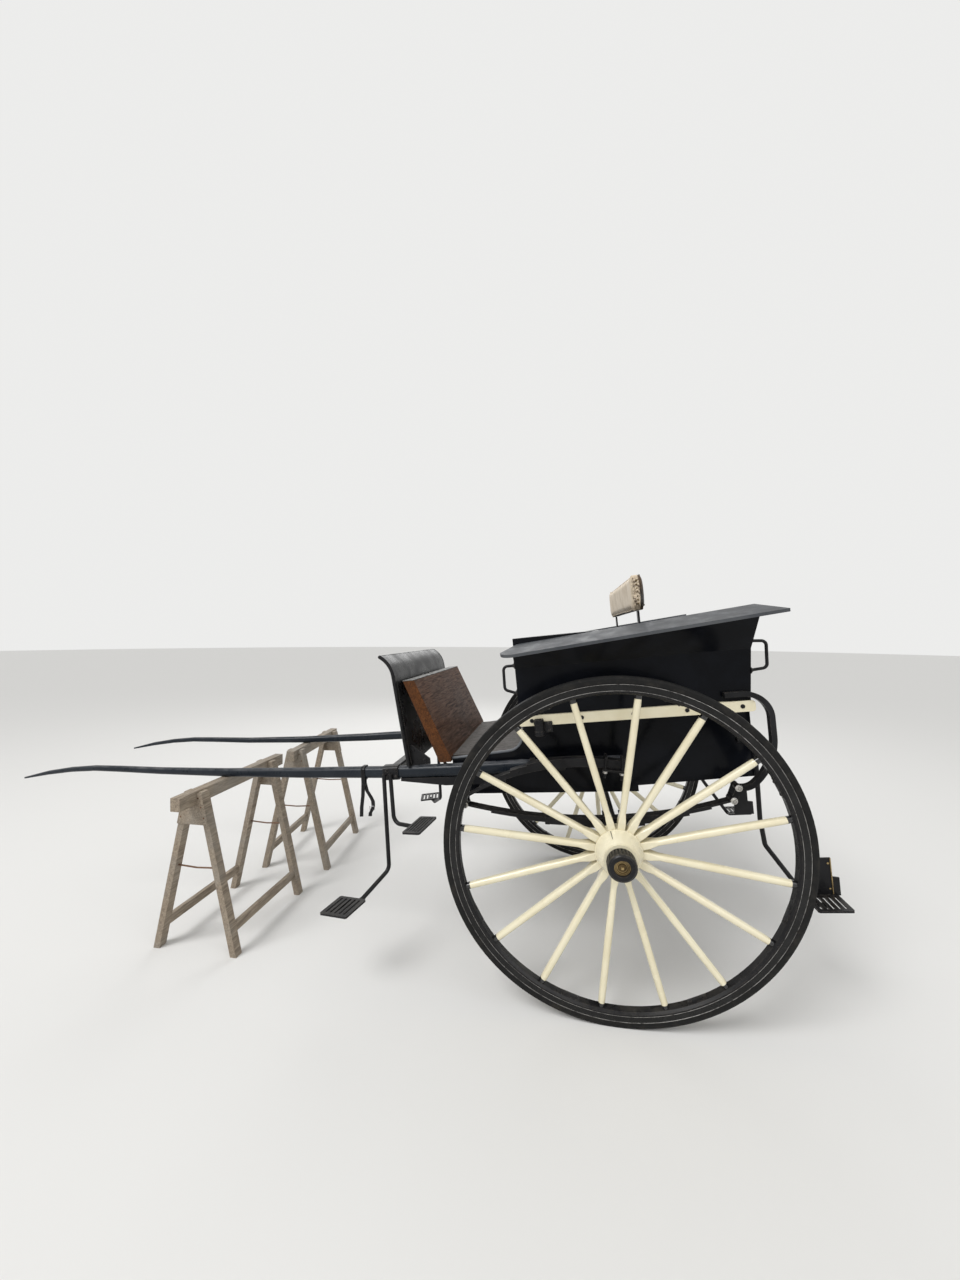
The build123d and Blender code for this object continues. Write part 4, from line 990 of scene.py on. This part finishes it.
@dataclass
class BackrestPad:
    """The padded roll that both seats lean on."""

    shop: Shop
    middle: Pair = (BACKREST_U, 0.954)
    size: Triple = (0.036, 0.884, 0.134)
    finished: Triple = (0.052, 0.902, 0.150)
    corner: float = 0.036
    rounding: float = 0.010
    voxel: float = 0.0055
    pressure: float = 4.0
    frames: int = 20
    swell: float = 0.007
    welt_u: float = 0.0150
    welt_radius: float = 0.0024
    rays: int = 160
    end_pull: float = 0.003
    end_crease: float = 0.0011
    crease_rate: float = 330.0
    crease_reach: float = 0.012
    end_share: Pair = (0.47, 0.03)
    stud: Pair = (0.0042, 0.0032)
    stud_pitch: float = 0.052
    stud_row: Triple = (0.0030, 0.7, 0.022)
    end_studs: int = 7
    end_pitch: float = 0.0157
    end_row: Triple = (0.003, 0.0035, 0.028)
    outlines: list = field(default_factory=list)

    def build(self) -> None:
        """Builds the cover, its welts and its studs."""
        self.cover()
        welts = joined([rod(route, self.welt_radius, True) for route in self.outlines])
        self.shop.fit(welts, "backrest_welts", "vinyl", "backrest_cover")
        self.studs()

    def cover(self) -> None:
        """The stuffed cover, blown up a little from a slimmer block."""
        u, v = self.middle
        bench = block(self.size, (u, 0, v)).edges(lambda a, b: abs(a.x - b.x) > self.size[0]/2)
        bench.bevel(self.corner, 6)
        bench.modify("BEVEL", width=self.rounding, segments=3, limit_method="ANGLE", angle_limit=radians(40))
        piece = bench.settle().piece
        piece.data.remesh_voxel_size = self.voxel
        bpy.ops.object.voxel_remesh()
        self.inflate(piece)
        self.stretch(piece)
        self.sew(piece)
        self.outlines = [self.outline(piece, du) for du in (-self.welt_u, self.welt_u)]
        bench.modify("SUBSURF", levels=1, render_levels=1)
        pad = self.shop.fit(bench, "backrest_pad", "vinyl", "backrest_cover", smooth=180.0)
        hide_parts("backrest")

    def inflate(self, piece: bpy.types.Object) -> None:
        """Blows the cover up with a cloth simulation, and caps how far it moves.

        Args:
            piece: The remeshed block.
        """
        before = [vertex.co.copy() for vertex in piece.data.vertices]
        cloth = piece.modifiers.new("stuffing", "CLOTH")
        cloth.settings.use_pressure = True
        cloth.settings.uniform_pressure_force = self.pressure
        cloth.settings.effector_weights.gravity = 0.0
        cloth.point_cache.frame_start = 1
        cloth.point_cache.frame_end = self.frames
        for frame in range(1, self.frames + 1):
            bpy.context.scene.frame_set(frame)
        bpy.ops.object.modifier_apply(modifier=cloth.name)
        bpy.context.scene.frame_set(1)
        for vertex, start in zip(piece.data.vertices, before):
            moved = vertex.co - start
            if moved.length > self.swell:
                vertex.co = start + moved*(self.swell/moved.length)

    def stretch(self, piece: bpy.types.Object) -> None:
        """Brings the stuffed cover to its finished size.

        Args:
            piece: The blown-up cover.
        """
        u, v = self.middle
        for axis, (centre, size) in enumerate(zip((u, 0.0, v), self.finished)):
            reach = max(abs(vertex.co[axis] - centre) for vertex in piece.data.vertices)
            for vertex in piece.data.vertices:
                vertex.co[axis] = centre + (vertex.co[axis] - centre)*size/(2*reach)

    def sew(self, piece: bpy.types.Object) -> None:
        """Pulls the ends in and presses creases between their studs.

        Args:
            piece: The cover at its finished size.
        """
        u, v = self.middle
        _, width, height = self.size
        start, length = self.end_share
        for vertex in piece.data.vertices:
            pull = min(1.0, max(0.0, abs(vertex.co.y) - width*start)/(width*length))
            vertex.co.z -= self.end_pull*(vertex.co.z - v)/(height/2)*pull
            fade = max(0.0, 1.0 - abs(vertex.co.x - u)/self.crease_reach)
            press = self.end_crease*cos(vertex.co.z*self.crease_rate)*fade*pull
            vertex.co.y -= press if vertex.co.y > 0 else -press

    def outline(self, piece: bpy.types.Object, du: float) -> list[Triple]:
        """The cover's outline where a welt runs.

        Args:
            piece: The cover.
            du: The welt's place, ahead of the middle.

        Returns:
            The outermost point on each ray from the middle.
        """
        at, middle_v = self.middle[0] + du, self.middle[1]
        outer: dict[int, tuple[float, Triple]] = {}
        for vertex in piece.data.vertices:
            if abs(vertex.co.x - at) > self.voxel*0.75:
                continue
            across, up = 2*vertex.co.y/self.finished[1], 2*(vertex.co.z - middle_v)/self.finished[2]
            ray = int((atan2(up, across) + pi)/(2*pi)*self.rays) % self.rays
            if ray not in outer or hypot(across, up) > outer[ray][0]:
                outer[ray] = (hypot(across, up), (at, vertex.co.y, vertex.co.z))
        return [outer[ray][1] for ray in sorted(outer)]

    def studs(self) -> None:
        """Small domed studs along the lower edge of the back and up both ends."""
        u, v = self.middle
        depth, width, height = self.finished
        inside, start, lift = self.stud_row
        places = [facing((u - depth/2 + inside, -width/2 + self.stud_pitch*(number + start),
                          v - height/2 + lift), (-1, 0, 0)) for number in range(int(width/self.stud_pitch))]
        ahead, inside, lift = self.end_row
        for way in (-1, 1):
            for number in range(self.end_studs):
                up = -height/2 + lift + self.end_pitch*number
                places.append(facing((u + ahead, way*(width/2 - inside), v + up), (0, way, 0)))
        self.shop.fit(round_head(*self.stud).copies(places), "backrest_studs", "brass")


@dataclass
class DashDetail:
    """The stitched binding of the leather dash, and the bolts of its gussets."""

    shop: Shop
    half_width: float = 0.455
    foot: Pair = (0.846, 0.300)
    knee: Pair = (0.878, 0.700)
    bend_centre: Pair = (0.9976, 0.6904)
    bend_radius: float = 0.120
    bend_angles: Pair = (175.4, 52.0)
    binding: float = 0.0085
    bolts: tuple = ((0.776, 0.317), (0.828, 0.362))
    gusset_y: float = 0.432
    head: Pair = (0.0085, 0.005)
    stitch: Pair = (0.0028, 0.0008)
    stitch_rows: int = 44
    stitch_inset: Pair = (0.0074, 0.016)
    stitch_way: Triple = (0.08, 0, 1)
    strip_at: Pair = (0.812, 0.6752)
    strip: Pair = (0.054, 0.003)
    strip_y: tuple = (-0.452, -0.15, 0.15, 0.452)
    screw: Pair = (0.0034, 0.0014)
    screw_lift: float = 0.0014
    screw_y: tuple = tuple(-0.42 + 0.12*number for number in range(8))

    def build(self) -> None:
        """Builds the binding, its stitches, the bolts and the toe board's strip."""
        start, sweep = self.bend_angles
        side = [self.foot, self.knee]
        for number in range(1, 8):
            angle = radians(start - sweep*number/7)
            side.append((self.bend_centre[0] + self.bend_radius*cos(angle),
                         self.bend_centre[1] + self.bend_radius*sin(angle)))
        near = [(u, self.half_width, v) for u, v in side]
        far = [(u, -self.half_width, v) for u, v in reversed(side)]
        self.shop.fit(rod(near + far, self.binding, sides=10), "dash_binding", "leather")
        self.stitches()
        bolts = [facing((u, self.gusset_y, v), (0, 1, 0)) for u, v in self.bolts]
        self.shop.pair(round_head(*self.head).copies(bolts), "dash_bolts", "black_iron")
        self.toe_strip()

    def toe_strip(self) -> None:
        """The metal strip along the toe board's top edge, with its screws."""
        u, v = self.strip_at
        edging = strap([(0.0, y, 0.0) for y in self.strip_y], *self.strip)
        places = [facing((0, y, self.screw_lift), (0, 0, 1)) for y in self.screw_y]
        bench = joined([edging, round_head(*self.screw).copies(places)]).move(Matrix.Translation((u, 0, v)))
        self.shop.fit(bench, "toe_board_strip", "steel", "dull_strip")

    def stitches(self) -> None:
        """Short stitches beside the binding, down both edges of the rear face."""
        (u, v), (top_u, top_v) = self.foot, self.knee
        half, radius = self.stitch
        behind, inside = self.stitch_inset
        stitch = rod(((-half, 0, 0), (half, 0, 0)), radius, sides=6)
        places = []
        for number in range(self.stitch_rows):
            share = (number + 0.5)/self.stitch_rows
            spot_u, spot_v = u + (top_u - u)*share - behind, v + (top_v - v)*share
            for way in (1, -1):
                along = facing((spot_u, way*(self.half_width - inside), spot_v), self.stitch_way)
                places.append(along @ Matrix.Rotation(radians(90), 4, "Y"))
        self.shop.fit(stitch.copies(places), "dash_stitches", "leather", "thread")


@dataclass
class BodyDetail:
    """Beads, brackets and bolts of the panelled body."""

    shop: Shop
    well_y: float = 0.4147
    bead_ends: tuple = ((0.655, 0.3135), (0.400, 0.3305), (0.3352, 0.4200))
    bead_bend: Triple = (0.4047, 0.3997, 0.0695)
    bead_angles: Pair = (266.2, 82.4)
    bead_radius: float = 0.0062
    rear_face: Triple = (-0.553, 0.453, 0.0945)
    belt_y: float = 0.530
    belt_bolts: tuple = tuple((-0.52 + 0.20*number, 0.474) for number in range(5))
    belt_head: Pair = (0.0085, 0.0035)
    grab_y: float = 0.505
    grab_lift: float = 0.0003
    grab_front: tuple = (0.3303, (0.703, 0.590))
    grab_rear: tuple = (0.718, 0.606)
    flange: tuple = ((0.0135, 0.0), (0.0135, 0.0025), (0.0085, 0.0045), (0.0068, 0.009))
    socket: Pair = (0.252, 0.546)
    sleeve: tuple = ((0.0165, 0.4135), (0.0205, 0.4165), (0.0205, 0.4330), (0.0192, 0.4345), (0.0192, 0.4610),
                     (0.0205, 0.4625), (0.0205, 0.4785), (0.0165, 0.4815))
    bracket: Triple = (0.038, 0.011, 0.044)
    bracket_at: Triple = (-0.034, 0.0045, 0.447)
    bracket_nuts: Pair = (0.460, 0.434)
    nut: Triple = (0.0062, 0.0045, 0.002)
    nut_at: Pair = (-0.040, 0.0095)
    strap_y: float = 0.330
    strap_bolts: Triple = (0.522, 0.545, 0.564)
    strap_head: Pair = (0.0065, 0.0035)
    strap_lift: float = 0.006
    strap_way: Triple = (-1, 0, -0.09)

    def build(self) -> None:
        """Builds the detail of both sides and the tailboard's hinge bolts."""
        pair = self.shop.pair
        pair(self.foot_bead(), "foot_bead", "grey_wing", "bead_paint")
        heads = [facing((u, self.belt_y, v), (0, 1, 0)) for u, v in self.belt_bolts]
        pair(round_head(*self.belt_head).copies(heads), "belt_bolts", "black_iron")
        pair(self.grab_flanges(), "grab_flanges", "black_iron")
        pair(self.socket_bracket(), "socket_bracket", "black_iron")
        hinge = [facing((self.rear_u(v) - self.strap_lift, y, v), self.strap_way)
                 for y in (self.strap_y, -self.strap_y) for v in self.strap_bolts]
        self.shop.fit(round_head(*self.strap_head).copies(hinge), "tail_strap_bolts", "black_iron",
                      body="tailboard")

    def rear_u(self, v: float) -> float:
        """Where the leaning rear face stands at a height."""
        u, height, slope = self.rear_face
        return u - (v - height)*slope

    def foot_bead(self) -> Bench:
        """A half-round bead along the curved top of the foot-well's side."""
        front, bend, top = ((u, self.well_y, v) for u, v in self.bead_ends)
        u, v, radius = self.bead_bend
        start, sweep = self.bead_angles
        angles = [radians(start - sweep*number/6) for number in range(1, 7)]
        curve = [(u + radius*cos(angle), self.well_y, v + radius*sin(angle)) for angle in angles]
        return rod([front, bend, *curve, top], self.bead_radius, sides=10)

    def grab_flanges(self) -> Bench:
        """The flanged feet of the grab irons."""
        u, heights = self.grab_front
        front = [facing((u, self.grab_y, v), (1, 0, 0)) for v in heights]
        rear = [facing((self.rear_u(v) - self.grab_lift, self.grab_y, v), (-1, 0, 0))
                for v in self.grab_rear]
        return turned(self.flange, 24, True).copies(front + rear)

    def socket_bracket(self) -> Bench:
        """A sleeve round the lamp socket, and the bracket that clips it to the belt board."""
        u, y = self.socket
        sleeve = turned(self.sleeve, 40).move(Matrix.Translation((u, y, 0)))
        behind, out, height = self.bracket_at
        bracket = plate(self.bracket, (u + behind, self.belt_y + out, height), 0.0025)
        behind, out = self.nut_at
        nuts = hex_nut(*self.nut).copies(
            [facing((u + behind, self.belt_y + out, v), (0, 1, 0), 15) for v in self.bracket_nuts])
        return joined([sleeve, bracket, nuts])


@dataclass
class GearDetail:
    """Nuts and bolts of the springs, the clips and the steps."""

    shop: Shop
    spring_y: float = 0.520
    eyes: tuple = ((0.588, 0.148), (0.588, 0.176), (-0.452, 0.122), (-0.4727, 0.170))
    cheek: float = 0.0278
    eye_nut: Triple = (0.0105, 0.0052, 0.0012)
    clip_u: float = 0.032
    clip_y: float = 0.0285
    clip_nut: Triple = (0.0088, 0.0072, 0.004)
    lower_nut_v: float = -0.0219
    upper_clip: Triple = (-0.022, 0.2649, 10.54)
    upper_nut_drop: float = 0.0102
    bands: tuple = ((0.255, 0.0725, -5.5), (-0.235, 0.0680, 7.0))
    band_half: float = 0.0245
    band_span: Pair = (0.013, -0.0155)
    band: Pair = (0.018, 0.003)
    clamp_y: float = 0.4572
    clamp_nut: Triple = (0.0070, 0.0052, 0.003)
    clamp_bolts: tuple = ((0.908, 0.284), (0.908, 0.256), (0.9485, 0.284), (0.9485, 0.256))
    guard: tuple = (-0.8125, 0.4302, -0.296, -0.1565)
    guard_radius: float = 0.0024
    screw: Pair = (0.0040, 0.0022)
    screw_at: Triple = (0.009, -0.0012, 0.020)

    def build(self) -> None:
        """Builds the detail of both sides."""
        pair = self.shop.pair
        eyes = [facing((u, self.spring_y + way*self.cheek, v), (0, way, 0), 8.0)
                for u, v in self.eyes for way in (1, -1)]
        pair(hex_nut(*self.eye_nut).copies(eyes), "spring_eye_nuts", "steel", "bright_steel")
        pair(self.clip_nuts(), "spring_clip_nuts", "steel", "bright_steel")
        pair(self.leaf_bands(), "leaf_bands", "black_iron")
        clamp = [facing((u, self.clamp_y, v), (0, 1, 0), 12.0) for u, v in self.clamp_bolts]
        pair(hex_nut(*self.clamp_nut).copies(clamp), "step_bolts", "black_iron")
        # The guard's sunlit edge, painted as a bright brass strip.
        pair(self.guard_edge(), "guard_edge", "brass", "worn_brass")

    def clip_nuts(self) -> Bench:
        """Nuts under the legs of the lower and the upper spring clips."""
        u, v, turn = self.upper_clip
        ends = (-self.clip_u, self.clip_u)
        lower = [facing((du, self.spring_y + dy, self.lower_nut_v), (0, 0, -1))
                 for du in ends for dy in (-self.clip_y, self.clip_y)]
        tilt = Matrix.Translation((u, self.spring_y, v)) @ Matrix.Rotation(-radians(turn), 4, "Y")
        upper = [tilt @ facing((du, self.clip_y, -self.upper_nut_drop), (0, 0, -1)) for du in ends]
        return hex_nut(*self.clip_nut).copies(lower + upper)

    def leaf_bands(self) -> Bench:
        """Clips bent round the leaves of the lower spring, each side of the axle."""
        half, (top, foot) = self.band_half, self.band_span
        route = [(0, y, z) for y, z in ((half, top), (-half, top), (-half, foot), (half, foot), (half, top))]
        return joined([strap(route, *self.band).move(Matrix.Translation((u, self.spring_y, v))
                                                     @ Matrix.Rotation(radians(turn), 4, "Y"))
                       for u, v, turn in self.bands])

    def guard_edge(self) -> Bench:
        """A bright brass edging strip up the rear step's guard, a painted highlight of the guard's sunlit
        edge, with a screw at each end.
        """
        u, y, low, high = self.guard
        ahead, out, end = self.screw_at
        edging = rod([(u, y, v) for v in (low, (low + high)/2, high)], self.guard_radius)
        screws = [facing((u + ahead, y + out, v), (0, 1, 0)) for v in (low + end, high - end)]
        return joined([edging, round_head(*self.screw).copies(screws)])


@dataclass
class ShaftDetail:
    """The leather strap on the left shaft, and the bolts of both shafts' irons."""

    shop: Shop
    loop_at: Triple = (1.070, 0.417, 0.2732)
    loop: tuple = (
        (0.024, 0.031, -0.192), (0.019, 0.030, -0.150), (0.009, 0.028, -0.100), (0.002, 0.0268, -0.040),
        (0.0, 0.0262, 0.0), (0.0, 0.0245, 0.018), (0.0, 0.014, 0.0285), (0.0, -0.014, 0.0285),
        (0.0, -0.0245, 0.018), (0.0, -0.0258, -0.008), (0.0, -0.0215, -0.022), (0.0, -0.010, -0.0290),
        (-0.001, 0.012, -0.0310), (-0.004, 0.0215, -0.045), (-0.010, 0.021, -0.080),
        (-0.024, 0.019, -0.108), (-0.033, 0.020, -0.128), (-0.034, 0.024, -0.150),
        (-0.027, 0.026, -0.166), (-0.016, 0.022, -0.180), (-0.012, 0.018, -0.196))
    leather: Pair = (0.017, 0.0034)
    keeper: Triple = (0.023, 0.015, 0.009)
    keeper_at: Triple = (-0.002, 0.0255, -0.050)
    buckle: tuple = ((-0.039, 0.0245, -0.167), (-0.017, 0.0245, -0.167), (-0.017, 0.0245, -0.149),
                     (-0.039, 0.0245, -0.149))
    wire: float = 0.0018
    bolts: tuple = ((0.182, 0.4722, 0.274), (0.226, 0.4722, 0.274), (0.301, 0.4722, 0.274))
    head: Pair = (0.0075, 0.004)

    def build(self) -> None:
        """Builds the strap, its keeper and its buckle, and the bolts."""
        fit = self.shop.fit
        fit(strap(self.placed(self.loop), *self.leather), "shaft_loop_strap", "leather")
        keeper = plate(self.keeper, self.placed([self.keeper_at])[0], 0.002)
        buckle = rod(self.placed(self.buckle), self.wire, True)
        fit(keeper, "shaft_loop_keeper", "leather")
        fit(buckle, "shaft_loop_buckle", "steel")
        heads = round_head(*self.head).copies([facing(spot, (0, 1, 0)) for spot in self.bolts])
        self.shop.pair(heads, "shaft_strap_bolts", "black_iron")

    def placed(self, points: Route) -> list[Triple]:
        """Points beside the shaft, as points of the level cart."""
        return [tuple(a + b for a, b in zip(self.loop_at, point)) for point in points]


@dataclass
class TrestleDetail:
    """Gussets, tie rods and nails of one trestle, in its own axes."""

    shop: Shop
    side: Side
    spacing: float
    turn: float
    leg: Pair = (0.030, 0.040)
    foot: float = 0.195
    bar: Pair = (0.045, 0.058)
    gusset: Pair = (0.140, 0.009)
    nail_spots: tuple = ((0.030, 0.030), (0.044, 0.070), (0.058, 0.118))
    tie_height: float = 0.385
    tie_sag: float = 0.006
    tie_radius: float = 0.0038
    nail: Pair = (0.0038, 0.0018)
    leg_drop: float = 0.006
    board_drop: float = 0.010

    def build(self) -> None:
        """Builds the trestle's detail around its CAD node."""
        word = self.side.word
        low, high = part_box(f"{word}_trestle")
        top = high[2]
        place = Matrix.Translation(((low[0] + high[0])/2, (low[1] + high[1])/2, 0))
        place = place @ Matrix.Rotation(radians(self.turn), 4, "Z")
        lean = (self.foot - self.bar[0]/2 - self.leg[0]/2)/(top - self.leg_drop - self.bar[1]/2)
        reach = self.foot - lean*self.tie_height
        boards, nails, ties = [], [], []
        for way in (1, -1):
            middle = way*self.spacing/2
            y = way*(self.spacing/2 + self.leg[1]/2 + self.gusset[1]/2)
            boards.append(self.board(top, lean, y))
            nails += [facing((side*x, y + way*self.gusset[1]/2, top - drop), (0, way, 0))
                      for x, drop in self.nail_spots for side in (-1, 1)]
            ties.append(rod([(-reach, middle, self.tie_height), (0, middle, self.tie_height - self.tie_sag),
                             (reach, middle, self.tie_height)], self.tie_radius))
        heads = round_head(*self.nail).copies(nails)
        for bench, name, slot, look in ((joined(boards), "gussets", "weathered_pine", None),
                                        (joined(ties), "ties", "steel", "rusty_nails"),
                                        (heads, "nails", "steel", "rusty_nails")):
            self.shop.fit(bench, f"{word}_trestle_{name}", slot, look, place=place)

    def board(self, top: float, lean: float, y: float) -> Bench:
        """A gusset board that follows the spread of the legs.

        Args:
            top: Height of the trestle's bar.
            lean: How far a leg spreads for each metre down.
            y: The board's middle.

        Returns:
            The board.
        """
        height, thick = self.gusset
        outer = self.foot + self.leg[0]/2
        high, low = top - self.board_drop, top - self.board_drop - height
        bench = block((2*(outer - lean*high), thick, height), (0, y, (high + low)/2))
        bench.faces(lambda c, n: n.z < -0.9).resize((outer - lean*low)/(outer - lean*high), 1.0, 1.0)
        return bench.all().bevel(0.0012).settle()


def finishes(hub: Triple) -> dict[str, Finish]:
    """The finishes by name, of which one has the name of each material slot.

    Args:
        hub: The centre between the wheels, on the axle's line.

    Returns:
        The finishes.
    """
    cream = {"colour": (0.80, 0.74, 0.55), "shade": (0.74, 0.67, 0.47), "worn": (0.30, 0.24, 0.16),
             "wear": 0.35, "dust": 0.05, "roughness": (0.16, 0.32), "coat": 0.4}
    return {
        "ivory": Paint("cream_coach_paint", **cream),
        "cream_spokes": SpokePaint("cream_spoke_paint", **cream, hub=hub),
        "black_wood": Paint("black_felloe_paint", (0.007, 0.007, 0.008), (0.014, 0.014, 0.015),
                            (0.12, 0.10, 0.08), wear=0.5, roughness=(0.18, 0.4), coat=0.11, specular=0.15),
        "black_panel": Paint("black_coach_panel", (0.0035, 0.004, 0.0055), (0.006, 0.007, 0.010),
                             (0.07, 0.06, 0.05), wear=0.3, dust=0.03, roughness=(0.10, 0.24), coat=0.05,
                             specular=0.08),
        "rim_paint": Paint("black_channel_enamel", (0.006, 0.006, 0.006), (0.013, 0.013, 0.013),
                           (0.42, 0.41, 0.39), wear=0.9, dust=0.05, roughness=(0.14, 0.36), coat=0.13,
                           mottle=16.0, specular=0.19),
        # The shafts' strong pale top dust and the wings' lighter top patches are partly dust and partly a
        # painted highlight of the lit tops.
        "blue_black_wood": Paint("worn_shaft_paint", (0.009, 0.013, 0.019), (0.016, 0.021, 0.028),
                                 (0.20, 0.20, 0.20), wear=0.6, dust=0.85, dust_colour=(0.15, 0.15, 0.155),
                                 roughness=(0.2, 0.45), coat=0.13, specular=0.17),
        "grey_wing": Paint("grey_wing_paint", (0.088, 0.093, 0.100), (0.058, 0.062, 0.070),
                           (0.03, 0.03, 0.032), wear=0.5, dust=0.45, dust_colour=(0.145, 0.145, 0.142),
                           roughness=(0.38, 0.6), coat=0.05, mottle=5.0, specular=0.18),
        "bead_paint": Paint("grey_bead_paint", (0.13, 0.14, 0.155), (0.08, 0.088, 0.10), (0.10, 0.09, 0.08),
                            wear=0.5, dust=0.1, roughness=(0.3, 0.5), coat=0.3),
        "black_iron": Paint("black_enamel_iron", (0.008, 0.008, 0.009), (0.016, 0.016, 0.018),
                            (0.16, 0.14, 0.12), wear=0.5, roughness=(0.25, 0.5), coat=0.07, pitted=0.2,
                            specular=0.16),
        # Pale edges on dark iron: rub wear, and painted highlights along the nose ribs.
        "iron_worn_and_highlit_edges": Paint("rubbed_iron", (0.030, 0.027, 0.022), (0.016, 0.015, 0.014), (0.20, 0.17, 0.13),
                           wear=0.7, roughness=(0.3, 0.5), coat=0.1, specular=0.3),
        "floor_wood": Timber("dark_floor_boards", (0.055, 0.042, 0.032), (0.018, 0.014, 0.012),
                             (0.06, 0.057, 0.052)),
        # The toe board's browns are darker than its varnished wood: painted shade of its rear face in shadow.
        "varnished_wood": Timber("varnished_toe_board", (0.15, 0.056, 0.018), (0.038, 0.014, 0.006),
                                 (0.060, 0.028, 0.014), weathered=0.55, turn=(0.0, 0.0, 90.0),
                                 roughness=(0.40, 0.60), coat=0.03, relief=0.2, specular=0.09),
        "weathered_pine": Timber("weathered_trestle_wood", (0.36, 0.30, 0.225), (0.17, 0.13, 0.095),
                                 (0.27, 0.25, 0.22), weathered=0.6, turn=(0.0, 0.0, 90.0), relief=0.5),
        "steel": Metal("worn_steel", (0.46, 0.46, 0.47), (0.05, 0.045, 0.04), 0.85, (0.3, 0.6)),
        "bright_steel": Metal("bright_iron", (0.62, 0.61, 0.59), (0.20, 0.17, 0.14), 0.5, (0.25, 0.5)),
        "dull_strip": Metal("dull_edge_strip", (0.15, 0.15, 0.145), (0.06, 0.055, 0.05), 0.7, (0.5, 0.7)),
        "worn_lips": Metal("worn_channel_lips", (0.34, 0.33, 0.32), (0.020, 0.018, 0.016), 0.96, (0.28, 0.55)),
        "rusty_nails": Metal("rusty_iron", (0.20, 0.12, 0.08), (0.10, 0.05, 0.03), 0.7, (0.5, 0.75)),
        # Dark dull brass: tarnish, and painted shade of the recessed hub cap.
        "brass": Metal("dull_brass", (0.13, 0.092, 0.045), (0.030, 0.022, 0.014), 0.8, (0.35, 0.6)),
        "worn_brass": Metal("rubbed_brass", (0.42, 0.31, 0.15), (0.10, 0.07, 0.035), 0.6, (0.3, 0.5)),
        "rubber": Rubber("solid_rubber"),
        "leather": Hide("black_dash_leather", (0.005, 0.005, 0.006), (0.012, 0.012, 0.013),
                        (0.07, 0.065, 0.06), roughness=(0.2, 0.42), specular=0.2),
        "thread": Hide("waxed_thread", (0.10, 0.095, 0.085), (0.16, 0.15, 0.13), (0.22, 0.20, 0.17)),
        "vinyl": Hide("off_white_cover", (0.50, 0.42, 0.31), (0.40, 0.33, 0.24), (0.80, 0.77, 0.70),
                      wear=0.5, roughness=(0.35, 0.6)),
        "backrest_cover": PadCover("backrest_covering", hub),
    }


def dress_nodes(frame: dict, looks: dict[str, Material]) -> None:
    """Gives every CAD node the material of its slot.

    Args:
        looks: The material of each finish.
    """
    special = {"spokes": "cream_spokes", "rim_channel": "rim_paint"}
    for entry in frame["record"]["subparts"]:
        node = frame["nodes"][entry["node"]]
        look = special.get(node.name.split("_", 1)[-1], entry["material_slot"])
        node.data.materials.clear()
        node.data.materials.append(looks[look])
        LOG.info("dressed %s in %s", node.name, look)


def main() -> None:
    """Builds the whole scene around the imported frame."""
    logging.basicConfig(level=logging.INFO, format="%(message)s")
    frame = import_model()
    bpy.ops.object.select_all(action="DESELECT")
    spin = next(j for j in frame["joints"] if j["name"] == "left_wheel_spin")
    wheel = tuple(spin["pos_m"])
    hub = (wheel[0], 0.0, wheel[2])
    Studio(axle_x=hub[0]).build()
    looks = {name: finish.build() for name, finish in finishes(hub).items()}
    dress_nodes(frame, looks)
    shop = Shop(hub, wheel[1], looks)
    for builder in (WheelDetail(shop), BackrestPad(shop), DashDetail(shop), BodyDetail(shop), GearDetail(shop),
                    ShaftDetail(shop), TrestleDetail(shop, Side.LEFT, 0.520, 0.0),
                    TrestleDetail(shop, Side.RIGHT, 0.535, 5.7)):
        LOG.info("building %s", type(builder).__name__)
        builder.build()


if __name__ == "__main__":
    main()
